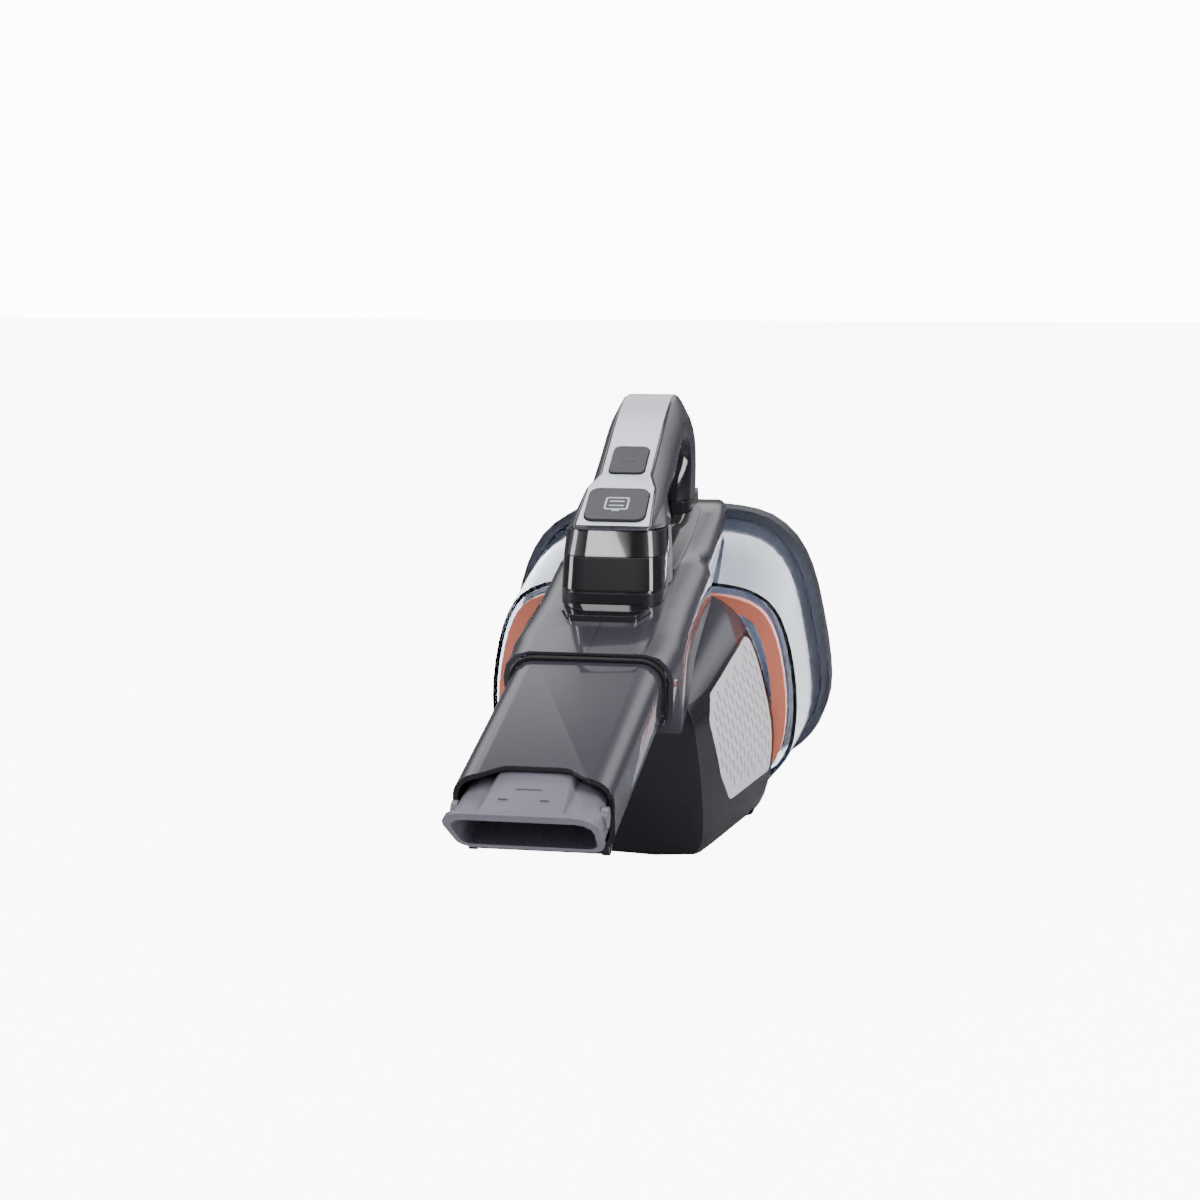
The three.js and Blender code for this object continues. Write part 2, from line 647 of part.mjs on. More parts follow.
// A bar that follows the handle's top between two rows of the table.
function topBar(rows, extra, up, down) {
  return loft(
    rows.map(([ty, tz, by, bz, , flat]) => {
      const long = Math.hypot(ty - by, tz - bz);
      const [uy, uz] = [(ty - by) / long, (tz - bz) / long];
      const p = (x, h) => [x, ty + uy * h, tz + uz * h];
      const w = flat + extra;
      return [p(w, -down), p(w, up), p(-w, up), p(-w, -down)];
    }),
  );
}
const STRIP_ROWS = HANDLE_ROWS.slice(1, CURVED_FROM + 3 * ROWS_PER + 1);
const stripBody = topBar(STRIP_ROWS, -1.2, 0.5, STRIP_DEEP);
const stripSeat = topBar(STRIP_ROWS, -1.2 + GAP, 3, STRIP_DEEP + GAP);

// Keys sit in the top, square to it.
function keyFrame(row0, row1, t) {
  const mix = (i) => row0[i] + (row1[i] - row0[i]) * t;
  const along = new THREE.Vector2(row1[0] - row0[0], row1[1] - row0[1]).normalize();
  return { y: mix(0), z: mix(1), along, up: new THREE.Vector2(-along.y, along.x) };
}
function keySolid(frame, half, long, corner, low, high, grow) {
  const ring = (h) =>
    rounded(
      [
        [half + grow, long + grow, corner],
        [half + grow, -long - grow, corner],
        [-half - grow, -long - grow, corner],
        [-half - grow, long + grow, corner],
      ],
      3,
    ).map(([x, l]) => {
      const { along, up } = frame;
      return [x, frame.y + along.x * l + up.x * h, frame.z + along.y * l + up.y * h];
    });
  return loft([ring(low), ring(high)]);
}
const KEY_FIT = 0.4;
const KEY_DEEP = 3.6;
const powerFrame = keyFrame(HANDLE[1], HANDLE[2], 0.51);
const boostFrame = keyFrame(HANDLE[3], HANDLE[4], 0.36);
const POWER_SIZE = [14, 12, 4.4];
const BOOST_SIZE = [8.4, 11.2, 3];
const POWER_BOARD = [11, 5];
const BOOST_BOARD = [7.5, 6.5];
const powerHole = keySolid(powerFrame, ...POWER_SIZE, -12, 6, KEY_FIT);
const boostHole = keySolid(boostFrame, ...BOOST_SIZE, -12, 6, KEY_FIT);
const handleShell = handleOuter
  .subtract(handleInner)
  .subtract(stripSeat)
  .subtract(powerHole)
  .subtract(boostHole);
add(handleGroup, "handle_strip", stripBody.subtract(powerHole).subtract(boostHole), SILVER);
add(handleGroup, "power_key", keySolid(powerFrame, ...POWER_SIZE, -KEY_DEEP, 1.6, 0), KEY_GREY);
add(handleGroup, "boost_key", keySolid(boostFrame, ...BOOST_SIZE, -KEY_DEEP, 1.5, 0), KEY_GREY);
// Switch boards under the keys, clear of the keys' travel.
const BOARD_TOP = -KEY_DEEP - POWER_TRAVEL - 0.5;
const boardOf = (frame, half, long) => keySolid(frame, half, long, 1.5, BOARD_TOP - 1.5, BOARD_TOP, 0);
add(handleGroup, "power_switch_board", boardOf(powerFrame, ...POWER_BOARD), BOARD);
add(handleGroup, "boost_switch_board", boardOf(boostFrame, ...BOOST_BOARD), BOARD);

// ---- halves of spine and handle, split on the centre plane with a hairline gap ----
const rightSide = box(0.1, 200, -500, 200, -50, 400);
const sideBox = (side) => (side > 0 ? rightSide : mirrored(rightSide));
const roomOf = (frame, half, long) => keySolid(frame, half, long, 1.5, BOARD_TOP - 1.9, -KEY_DEEP, 0.5);
const boardRoom = roomOf(powerFrame, ...POWER_BOARD).add(roomOf(boostFrame, ...BOOST_BOARD));
for (const [side, word] of [[1, "right"], [-1, "left"]]) {
  add(handleGroup, "handle_" + word, handleShell.subtract(boardRoom).intersect(sideBox(side)), TITANIUM);
}

// ---- inlet tube from the spigot to the bowl ----
const INLET_TOP = 107;
const INLET_BOTTOM = 85;
const INLET_HALF = 25;
const tubeRings = (d) => {
  const rings = [atS(spigotSection(-1 - d), -SPIGOT_LENGTH - 0.4 + (d ? 1 : 0))];
  rings.push(at(trapezoid(109.5 - d, 83.5 + d, INLET_HALF + 1 - d, INLET_HALF - d, 6 - d, 5 - d), -165));
  const end = trapezoid(INLET_TOP - d, INLET_BOTTOM + d, INLET_HALF - d, INLET_HALF - 1 - d, 6 - d, 5 - d);
  rings.push(at(end, BOWL_FRONT + 2 + (d ? 1 : 0)));
  return rings;
};
const tubeClear = loft(tubeRings(-GAP));
add(baseGroup, "inlet_tube", loft(tubeRings(0)).subtract(loft(tubeRings(1.8))), BLACK_SATIN);

// ---- motor housing: base tub, cheeks and vent panels cut from one shell ----
const CELL_ROOM = (CELLS * CELL_PITCH) / 2 - 37.8; // the housing widens with its cells
const HOUSE_FRONT_HALF = [
  [0, 84], [16, 84], [27, 82], [34, 77], [38, 71], [40.5, 62], [42, 52],
  [43.5, 40], [44.5, 27], [45, 14], [43.5, 5], [39, 1], [0, 0.8],
];
const HOUSE_REAR_HALF = [
  [0, 113], [20, 112.5], [34, 110], [45, 103.5], [52, 95], [58, 82], [62.5, 66],
  [66, 49], [66.5, 34], [64, 17], [60, 6], [54, 1], [0, 0.8],
];
const houseHalf = (y) => {
  const share = (y - HOUSING_FRONT - 6) / (RING_Y - HOUSING_FRONT - 6);
  return mixHalf(HOUSE_FRONT_HALF, HOUSE_REAR_HALF, share).map(([x, z]) => [x > 0 ? x + CELL_ROOM : 0, z]);
};
const shrink = (half, k, z0) => half.map(([x, z]) => [x * k, z0 + (z - z0) * k]);
function houseLoft(d) {
  const front = inset(houseHalf(HOUSING_FRONT + 6), d);
  const rows = [
    [HOUSING_FRONT + d, shrink(front, 0.86, 38)],
    [HOUSING_FRONT + 2 + d * 0.6, shrink(front, 0.96, 38)],
    [HOUSING_FRONT + 8, front],
    [-180, inset(houseHalf(-180), d)],
    [-146, inset(houseHalf(-146), d)],
    [RING_Y - GAP + (d > 0 ? 1 : 0), inset(houseHalf(RING_Y), d)],
  ];
  return loft(rows.map(([y, half]) => at(outline(half), y)));
}
const TAIL_REAR = DOOR_FRONT - 2.4;
const TAIL_TOP = 9.4;
const tailLoft = (d) =>
  loft(
    [
      [RING_Y - 8, 60 - d],
      [-70, 58.5 - d],
      [TAIL_REAR - d, 63 - d],
    ].map(([y, half]) => {
      const [top, bottom] = d ? [TAIL_TOP - d, BASE_Z + d] : [TAIL_TOP, BASE_Z];
      return at(trapezoid(top, bottom, half, half - 3, d ? 0.8 : 2, d ? 0.8 : 3), y);
    }),
  );
const floorCut = box(-200, 200, -500, 200, -20, BASE_Z);
const houseOuter = houseLoft(0);
const houseInner = houseLoft(WALL);
const keepClear = spineLoft(-GAP - 0.1, false);
const topSlot = box(-SPINE_HALF + 6, SPINE_HALF - 6, -300, RING_Y + 5, 66, 200);
const frontSlot = ductBody(1, -60, 60);
const houseShell = houseOuter
  .subtract(houseInner)
  .subtract(keepClear)
  .subtract(tubeClear)
  .subtract(topSlot)
  .subtract(frontSlot);

// Vent panel outline in side view, and the line between cheek and base.
const VENT = rounded(
  [
    [-178, 74, 5], [-186, 62, 6], [-181, 34, 12],
    [-170, 19.5, 7], [RING_Y - 2, 23, 4], [RING_Y - 2, 92.5, 3],
  ],
  4,
);
const ventPrism = (grow) => {
  const mid = VENT.reduce((s, p) => [s[0] + p[0] / VENT.length, s[1] + p[1] / VENT.length], [0, 0]);
  return VENT.map(([y, z]) => {
    const v = new THREE.Vector2(y - mid[0], z - mid[1]);
    const k = 1 + grow / v.length();
    return [mid[0] + v.x * k, mid[1] + v.y * k];
  });
};
const aboveLine = [
  [-196, 72], [-178, 75.5], [RING_Y - 1, 94], [RING_Y + 20, 96],
  [RING_Y + 20, 200], [-230, 200], [-230, 72],
];
const cheekZone = plateX(aboveLine, 25, 120);
const ventZone = plateX(ventPrism(-1.2 - GAP), 30, 120);
const ventRebate = plateX(ventPrism(-1.2), 25, 120);
const housingWalls = houseShell.subtract(ventRebate).subtract(mirrored(ventRebate));
const lowerWalls = housingWalls
  .subtract(plateX(aboveLine.map(([y, z]) => [y, z - GAP]), 25, 120))
  .subtract(mirrored(plateX(aboveLine.map(([y, z]) => [y, z - GAP]), 25, 120)));
const SCREW_AT = [[45.5, -124], [44, -52]];
const FOOT_AT = [[33, -186], [48, -38]];
const CHARGE_Y = -175;
let base = lowerWalls.add(tailLoft(0)).subtract(tailLoft(WALL)).subtract(floorCut);
base = base.subtract(houseLoft(WALL));
base = base.add(box(-50, 50, RING_Y - 4, RING_Y + 12, BASE_Z, BASE_Z + 2.4));
base = base.subtract(box(-8.4, 8.4, CHARGE_Y - 5.4, CHARGE_Y + 5.4, -1, 8));
for (const [x, y] of SCREW_AT) {
  for (const side of [1, -1]) {
    const boss = round("z", 6, 6, BASE_Z, BASE_Z + 6, [side * x, y, 0], 20);
    const bore = round("z", 4, 4, -1, BASE_Z + 3.6, [side * x, y, 0], 20).add(
      round("z", 1.8, 1.8, -1, BASE_Z + 8, [side * x, y, 0], 12),
    );
    base = base.add(boss).subtract(bore);
  }
}
add(baseGroup, "base_shell", base, BLACK_GLOSS);
const vent = houseShell.intersect(ventZone);
// Short upright slots through a vent panel, in columns that step up and down by half a pitch.
const SLOT_PITCH = [4.4, 7.4];
const SLOT_HALF = [0.7, 2.2];
const SLOT_LEAN = THREE.MathUtils.degToRad(12);
const SLOT_MARGIN = 4.5;
function inside(polygon, y, z) {
  let odd = false;
  polygon.forEach(([y0, z0], i) => {
    const [y1, z1] = polygon[(i + 1) % polygon.length];
    if (z0 > z !== z1 > z && y < y0 + ((y1 - y0) * (z - z0)) / (z1 - z0)) odd = !odd;
  });
  return odd;
}
function ventSlots() {
  const [w, l] = SLOT_HALF;
  const plan = [[w, -l], [w, l], [0, l + w], [-w, l], [-w, -l], [0, -l - w]];
  const [cos, sin] = [Math.cos(SLOT_LEAN), Math.sin(SLOT_LEAN)];
  const within = ventPrism(-SLOT_MARGIN);
  let cut = null;
  for (let c = 0; c < 18; c++) {
    for (let r = 0; r < 11; r++) {
      const y = RING_Y - 7 - c * SLOT_PITCH[0];
      const z = 22 + (r + (c % 2) / 2) * SLOT_PITCH[1];
      if (!inside(within, y, z - l) || !inside(within, y, z + l)) continue;
      const slot = plateX(plan.map(([a, b]) => [y + a * cos - b * sin, z + a * sin + b * cos]), 20, 120);
      cut = cut ? cut.add(slot) : slot;
    }
  }
  return cut;
}
const ventRight = vent.subtract(ventSlots());
add(baseGroup, "vent_right", ventRight, VENT_PALE);
add(baseGroup, "vent_left", mirrored(ventRight), VENT_PALE);
const cheek = housingWalls.intersect(cheekZone);
add(baseGroup, "cheek_right", cheek, TITANIUM);
add(baseGroup, "cheek_left", mirrored(cheek), TITANIUM);

// ---- feet, screws and charging contacts under the base ----
let footCount = 0;
for (const [x, y] of FOOT_AT) {
  for (const side of [1, -1]) {
    footCount += 1;
    add(baseGroup, "foot_" + footCount, round("z", 4.6, 5, 0, BASE_Z - 0.2, [side * x, y, 0], 20), RUBBER);
  }
}
let screwCount = 0;
for (const [x, y] of SCREW_AT) {
  for (const side of [1, -1]) {
    screwCount += 1;
    const head = round("z", 3.6, 3.6, BASE_Z + 0.8, BASE_Z + 3.3, [side * x, y, 0], 16);
    const shank = round("z", 1.5, 1.5, BASE_Z + 3, BASE_Z + 9, [side * x, y, 0], 12);
    const slot = box(side * x - 2.2, side * x + 2.2, y - 0.5, y + 0.5, 0, BASE_Z + 1.8);
    add(baseGroup, "base_screw_" + screwCount, head.add(shank).subtract(slot), STEEL);
  }
}
let block = box(-8, 8, CHARGE_Y - 5, CHARGE_Y + 5, BASE_Z + 0.4, BASE_Z + 3.6);
for (const side of [1, -1]) {
  const at4 = (grow, low, high) =>
    box(side * 4 - 1.5 - grow, side * 4 + 1.5 + grow, CHARGE_Y - 2.5 - grow, CHARGE_Y + 2.5 + grow, low, high);
  block = block.subtract(at4(0.4, 0, BASE_Z + 2.2));
  const contact = at4(0, BASE_Z + 0.7, BASE_Z + 1.9);
  add(baseGroup, side > 0 ? "charge_contact_right" : "charge_contact_left", contact, BRASS);
}
add(baseGroup, "charge_block", block, BLACK_SATIN);

// ---- motor, fan and battery in the base ----
const motorBox = MOTOR_REAR - MOTOR_LENGTH;
const can = round("y", MOTOR_R, MOTOR_R, motorBox, MOTOR_REAR, [0, 0, MOTOR_Z], 28)
  .subtract(round("y", SHAFT_R + 0.35, SHAFT_R + 0.35, motorBox - 1, MOTOR_REAR + 1, [0, 0, MOTOR_Z], 16));
add(baseGroup, "motor_can", can, STEEL);
const shaft = round("y", SHAFT_R, SHAFT_R, motorBox - 4, FAN_REAR - 1, [0, 0, MOTOR_Z], 16);
let fan = round("y", FAN_R, FAN_R, FAN_REAR - FAN_DEEP, FAN_REAR - FAN_DEEP + 1.6, [0, 0, MOTOR_Z], 36).add(
  round("y", 7, 5, FAN_REAR - FAN_DEEP, FAN_REAR - 1, [0, 0, MOTOR_Z], 20),
);
for (let i = 0; i < FAN_BLADES; i++) {
  const g = new THREE.BoxGeometry(1.4, FAN_DEEP - 1, FAN_R - 6);
  g.translate(0, FAN_REAR - FAN_DEEP / 2, (FAN_R + 4) / 2);
  g.rotateY((i * 2 * Math.PI) / FAN_BLADES);
  g.translate(0, 0, MOTOR_Z);
  fan = fan.add(solid(g));
}
const fanBore = round("y", SHAFT_R + RUN, SHAFT_R + RUN, FAN_REAR - 30, FAN_REAR + 5, [0, 0, MOTOR_Z], 16);
fan = fan.subtract(fanBore);
add(baseGroup, "fan_wheel", fan, BLACK_SATIN);
add(baseGroup, "motor_shaft", shaft, STEEL);
const mount = box(-27, 27, MOTOR_REAR - 8, MOTOR_REAR - 2, MOTOR_Z - 20, MOTOR_Z + 28).subtract(
  round("y", MOTOR_R + GAP, MOTOR_R + GAP, -300, 0, [0, 0, MOTOR_Z], 28),
);
add(baseGroup, "motor_mount", mount, RUBBER);
const holderHalf = (CELLS * CELL_PITCH) / 2 + 2.2;
const holderRear = CELL_REAR - 28;
let holder = box(-holderHalf, holderHalf, holderRear - 6, holderRear, CELL_Z - CELL_R - 1.6, CELL_Z - 4);
for (let i = 0; i < CELLS; i++) {
  const x = (i - (CELLS - 1) / 2) * CELL_PITCH;
  const cell = round("y", CELL_R, CELL_R, CELL_REAR - CELL_LENGTH, CELL_REAR, [x, 0, CELL_Z], 20);
  add(baseGroup, "battery_cell_" + (i + 1), cell, CELL_WRAP);
  holder = holder.subtract(round("y", CELL_R + GAP, CELL_R + GAP, -300, 0, [x, 0, CELL_Z], 20));
}
add(baseGroup, "cell_holder", holder, BLACK_SATIN);
const boardZ = CELL_Z + CELL_R + 1.2;
add(baseGroup, "control_board", box(23.5, 37, -188, -140, boardZ, boardZ + 1.6), BOARD);

// ---- dust bowl ----
const DOOR_HALF = [
  [0, 143.5], [20, 143.3], [38, 142], [54, 137.7], [67.5, 126.7], [76, 111], [82, 88],
  [86.6, 61], [86.8, 44], [82, 29], [73, 17.5], [58, 8.5], [0, 6],
];
const BOWL_HALF = [
  [0, 115.5], [18, 115.3], [35, 114.5], [50, 112.5], [62, 106.5], [69, 97], [73.8, 82],
  [76.8, 62], [76.8, 46], [74.4, 32], [68.5, 22], [56, 15.5], [0, 13.5],
];
const BOWL_IN_DOOR = inset(DOOR_HALF, RIM + 0.4);
const BOWL_REAR = DOOR_REAR - DOOR_PLATE - 1.6;
const bowlLoft = (d, from) => {
  const rows = [
    [from, inset(BOWL_HALF, d)],
    [-66, inset(mixHalf(BOWL_HALF, BOWL_IN_DOOR, 0.5), d)],
    [DOOR_FRONT - 1, inset(BOWL_IN_DOOR, d)],
    [BOWL_REAR + (d ? 1 : 0), inset(BOWL_IN_DOOR, d)],
  ];
  return loft(rows.map(([y, half]) => at(outline(half), y)));
};
const FILTER_Z = 52;
const inletHole = loft(
  [BOWL_FRONT - 5, BOWL_FRONT + 5].map((y) =>
    at(trapezoid(INLET_TOP + GAP, INLET_BOTTOM - GAP, INLET_HALF + GAP, INLET_HALF - 1 + GAP, 6, 5), y),
  ),
);
// A cylinder or cone on the filter's axis.
const onFilter = (r0, r1, from, to, sides = 32) => round("y", r0, r1, from, to, [0, 0, FILTER_Z], sides);
const filterHole = onFilter(FILTER_R + 1.2, FILTER_R + 1.2, BOWL_FRONT - 5, BOWL_FRONT + 5);
const bowl = bowlLoft(0, BOWL_FRONT)
  .subtract(bowlLoft(BOWL_WALL, BOWL_FRONT + BOWL_WALL))
  .subtract(inletHole)
  .subtract(filterHole);
add(bowlGroup, "dust_bowl", bowl, CLEAR);

// ---- gasket ring between housing and bowl ----
const RING_HALF = inset(BOWL_HALF, 5);
const ringInner = inset(BOWL_HALF, 12);
const ringShape = (half, a, b) => loft([a, b].map((y) => at(outline(half), y)));
const gasketRing = ringShape(RING_HALF, RING_Y, BOWL_FRONT - GAP)
  .subtract(ringShape(ringInner, RING_Y - 1, BOWL_FRONT + 1))
  .subtract(spineLoft(-GAP, false))
  .subtract(tubeClear);
add(bowlGroup, "bowl_gasket", gasketRing, SALMON);

// ---- filter: mount ring, pleats, pre-filter mesh ----
const bowlInside = BOWL_FRONT + BOWL_WALL;
const filterRing = onFilter(FILTER_R + 0.9, FILTER_R + 0.9, BOWL_FRONT, bowlInside + 0.4)
  .add(onFilter(FILTER_R + 4, FILTER_R + 4, bowlInside + GAP, bowlInside + 3))
  .subtract(onFilter(FILTER_R - 3, FILTER_R - 3, -200, 0));
add(bowlGroup, "filter_mount", filterRing, BLACK_SATIN);
const pleatStart = bowlInside + 3 + GAP;
const pleatRing = (y, k, r) =>
  Array.from({ length: PLEATS * 2 }, (_, i) => {
    const t = (i * Math.PI) / PLEATS;
    const d = (i % 2 ? r - 4.5 : r) * k;
    return [d * Math.sin(t), y, FILTER_Z + d * Math.cos(t)];
  });
const pleatEnd = pleatStart + FILTER_LENGTH;
const pleatStar = loft([pleatRing(pleatStart, 1, FILTER_R - 2), pleatRing(pleatEnd, 0.8, FILTER_R - 2)]);
const pleats = pleatStar.subtract(onFilter(FILTER_R - 9, FILTER_R - 11, pleatStart - 1, pleatEnd - 3, 20));
add(bowlGroup, "pleated_filter", pleats, PAPER);
const sleeve = onFilter(FILTER_R + 2.5, FILTER_R - 2, pleatStart, pleatEnd + 4).subtract(
  onFilter(FILTER_R + 1, FILTER_R - 3.5, pleatStart - 1, pleatEnd + 2.4),
);
add(bowlGroup, "mesh_sleeve", sleeve, STEEL);

// ---- inlet flap, hung behind the inlet in the bowl ----
const FLAP_Y = BOWL_FRONT + 3.6;
const flapPin = round("x", 1.2, 1.2, -INLET_HALF, INLET_HALF, [0, FLAP_Y + 1.2, INLET_TOP + 0.6], 12);
const flap = box(-INLET_HALF, INLET_HALF, FLAP_Y, FLAP_Y + 1.4, INLET_BOTTOM - 1, INLET_TOP + 0.8).add(flapPin);
add(bowlGroup, "inlet_flap", flap, RUBBER);

// ---- door with rim, hinge, dial and latch ----
const HINGE_Y = DOOR_FRONT - 1;
const HINGE_Z = 148.5;
const HINGE_PIN_R = 1.6;
const KNUCKLE_R = 3.4;
const KNUCKLE_HALF = 7; // half width of the door's knuckle
const onHinge = (r, x0, x1) => round("x", r, r, x0, x1, [0, HINGE_Y, HINGE_Z], 20);
const doorShape = (d, a, b) => loft([a, b].map((y) => at(outline(inset(DOOR_HALF, d)), y)));
let door = doorShape(0, DOOR_FRONT, DOOR_REAR)
  .subtract(doorShape(RIM, DOOR_FRONT - 1, DOOR_REAR - DOOR_PLATE))
  .subtract(round("y", 7, 7, -20, 10, [0, 0, DIAL_Z], 24));
const knuckleDoor = onHinge(KNUCKLE_R, -KNUCKLE_HALF, KNUCKLE_HALF)
  .add(
    plateX(
      [
        [HINGE_Y, HINGE_Z + 2],
        [DOOR_FRONT + 8, 143.5],
        [DOOR_FRONT + 8, 139.5],
        [DOOR_FRONT + 0.5, 139.5],
        [HINGE_Y, HINGE_Z - 3],
      ],
      -KNUCKLE_HALF,
      KNUCKLE_HALF,
    ),
  )
  .subtract(onHinge(HINGE_PIN_R + RUN, -KNUCKLE_HALF - 2, KNUCKLE_HALF + 2));
door = door.add(knuckleDoor);
const SLIDER_HALF = 9;
const sliderGuide = box(-SLIDER_HALF - 3, SLIDER_HALF + 3, DOOR_REAR - 0.5, DOOR_REAR + 4.5, 10, 34)
  .subtract(box(-SLIDER_HALF - GAP, SLIDER_HALF + GAP, DOOR_REAR - 3, DOOR_REAR + 3, 5, 31 + SLIDER_TRAVEL))
  .subtract(box(-SLIDER_HALF + 3, SLIDER_HALF - 3, DOOR_REAR + 2, DOOR_REAR + 6, 14, 30));
door = door.add(sliderGuide);
add(bowlGroup, "rear_door", door, RIM_GREY);
const slider = box(-SLIDER_HALF, SLIDER_HALF, DOOR_REAR + GAP, DOOR_REAR + 2.6, 11, 31).add(
  box(-SLIDER_HALF + 3.4, SLIDER_HALF - 3.4, DOOR_REAR + 2, DOOR_REAR + 5.4, 14.4, 29.6 - SLIDER_TRAVEL),
);
add(bowlGroup, "door_latch", slider, KEY_GREY);
const dialBack = DOOR_REAR - DOOR_PLATE;
const dial = round("y", DIAL_R, DIAL_R - 1.5, DOOR_REAR + 0.4, DOOR_REAR + 4, [0, 0, DIAL_Z], 40)
  .add(round("y", 7 - RUN, 7 - RUN, dialBack - 1.5, DOOR_REAR + 1, [0, 0, DIAL_Z], 24))
  .add(round("y", 9.5, 9.5, dialBack - 2.4, dialBack - 0.4, [0, 0, DIAL_Z], 24))
  .add(
    loft(
      [DOOR_REAR + 3.5, DOOR_REAR + 10].map((y, k) =>
        rounded([[5 - k, 22 - k, 3], [5 - k, -22 + k, 3], [-5 + k, -22 + k, 3], [-5 + k, 22 - k, 3]], 3)
          .map(([x, z]) => [x, y, DIAL_Z + z]),
      ),
    ),
  );
add(bowlGroup, "filter_dial", dial, KEY_GREY);

// ---- spine halves with the door's hinge knuckles ----
const KNUCKLE_IN = KNUCKLE_HALF + 0.4;
const KNUCKLE_OUT = KNUCKLE_HALF + 7.5;
const knuckle = onHinge(KNUCKLE_R, KNUCKLE_IN, KNUCKLE_OUT).add(
  box(KNUCKLE_IN, KNUCKLE_OUT, SPINE_END - 2, HINGE_Y, HINGE_Z - KNUCKLE_R, HINGE_Z + 2),
);
const spineBody = spineShell
  .add(knuckle)
  .add(mirrored(knuckle))
  .subtract(onHinge(KNUCKLE_R + 0.7, -KNUCKLE_IN, KNUCKLE_IN))
  .subtract(onHinge(HINGE_PIN_R + RUN, -30, 30))
  .subtract(latchHole);
for (const [side, word] of [[1, "right"], [-1, "left"]]) {
  add(handleGroup, "spine_" + word, spineBody.intersect(sideBox(side)), TITANIUM);
}
add(bowlGroup, "hinge_pin", onHinge(HINGE_PIN_R, -KNUCKLE_OUT + 0.5, KNUCKLE_OUT - 0.5), STEEL);

// ---- origin: centre of the footprint on the floor ----
const extent = new THREE.Box3().setFromObject(root);
root.position.set(0, -(extent.min.y + extent.max.y) / 2, 0);

export default root;
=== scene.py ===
import json
import math

import bmesh
import bpy
import numpy as np
from bpy.props import FloatProperty, FloatVectorProperty, IntProperty, PointerProperty
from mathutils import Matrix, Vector


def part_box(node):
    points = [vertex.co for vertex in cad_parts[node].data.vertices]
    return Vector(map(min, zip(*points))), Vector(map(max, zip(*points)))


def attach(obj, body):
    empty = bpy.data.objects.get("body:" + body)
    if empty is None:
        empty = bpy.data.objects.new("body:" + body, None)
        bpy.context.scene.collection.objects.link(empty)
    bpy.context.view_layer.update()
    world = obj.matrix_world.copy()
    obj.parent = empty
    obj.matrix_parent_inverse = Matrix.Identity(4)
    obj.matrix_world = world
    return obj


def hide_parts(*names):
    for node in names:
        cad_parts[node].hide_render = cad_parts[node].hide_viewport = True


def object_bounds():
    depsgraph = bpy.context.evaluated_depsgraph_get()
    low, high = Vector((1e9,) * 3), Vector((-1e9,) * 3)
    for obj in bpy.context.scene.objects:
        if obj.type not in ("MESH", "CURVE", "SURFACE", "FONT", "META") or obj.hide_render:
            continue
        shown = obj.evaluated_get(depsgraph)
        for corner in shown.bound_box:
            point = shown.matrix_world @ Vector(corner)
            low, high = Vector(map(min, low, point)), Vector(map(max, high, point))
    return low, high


bl_info = {
    "name": "Cordless hand vacuum",
    "version": (1, 0, 0),
    "blender": (4, 5, 0),
    "location": "3D View > Sidebar > Hand vacuum",
    "description": "Finishes and fine detail for a cordless hand vacuum built on its packed frame",
    "category": "Object",
}

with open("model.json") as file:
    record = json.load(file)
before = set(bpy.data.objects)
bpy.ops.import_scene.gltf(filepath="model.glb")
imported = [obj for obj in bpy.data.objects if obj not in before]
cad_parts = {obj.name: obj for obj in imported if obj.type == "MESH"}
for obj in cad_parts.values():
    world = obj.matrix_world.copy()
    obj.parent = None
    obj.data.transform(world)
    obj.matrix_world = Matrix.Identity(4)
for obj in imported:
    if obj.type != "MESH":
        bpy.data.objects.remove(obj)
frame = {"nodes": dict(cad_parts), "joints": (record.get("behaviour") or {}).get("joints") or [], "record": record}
CAD_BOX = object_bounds()
NODES = frame["nodes"]

MM = 0.001
SLOPE = math.radians(12)  # fall of the nozzle
FORWARD = Vector((0, -math.cos(SLOPE), -math.sin(SLOPE)))  # along the nozzle, towards its mouth
NOZZLE_UP = Vector((0, -math.sin(SLOPE), math.cos(SLOPE)))

DUCT_GAP_SHADE_DEEP = 14 * MM  # reach of the painted shade, gloss black on the duct's front edge, behind its front
TIP_BEND = (24 * MM, 36 * MM)  # the thumb pad's bend lies this far behind the upper lip
TIP_MARKS_BACK = 20.5 * MM  # middle of the tip's marks behind the upper lip
TUFTS = 16  # tufts along the brush, as in its comb

CAMERA_AT = (0.169, -0.97255, 0.2721)
FLOOR_HALF = 9  # half side of the floor, in metres
FLOOR_GLOW = 9.0  # light the floor gives to the camera only
SKY_SEEN = 14.0  # surround, as the camera sees it
SKY_LIGHT = 0.12  # surround, as it lights the vacuum
SKY_BAND = 0.9  # brighter belt of the surround, a third of the way up


# ---------------------------------------------------------------- settings


def colour(name, default, what):
    """One colour setting, linear RGB."""
    return FloatVectorProperty(
        name=name, description=what, default=default, size=3, min=0, max=1, subtype="COLOR"
    )


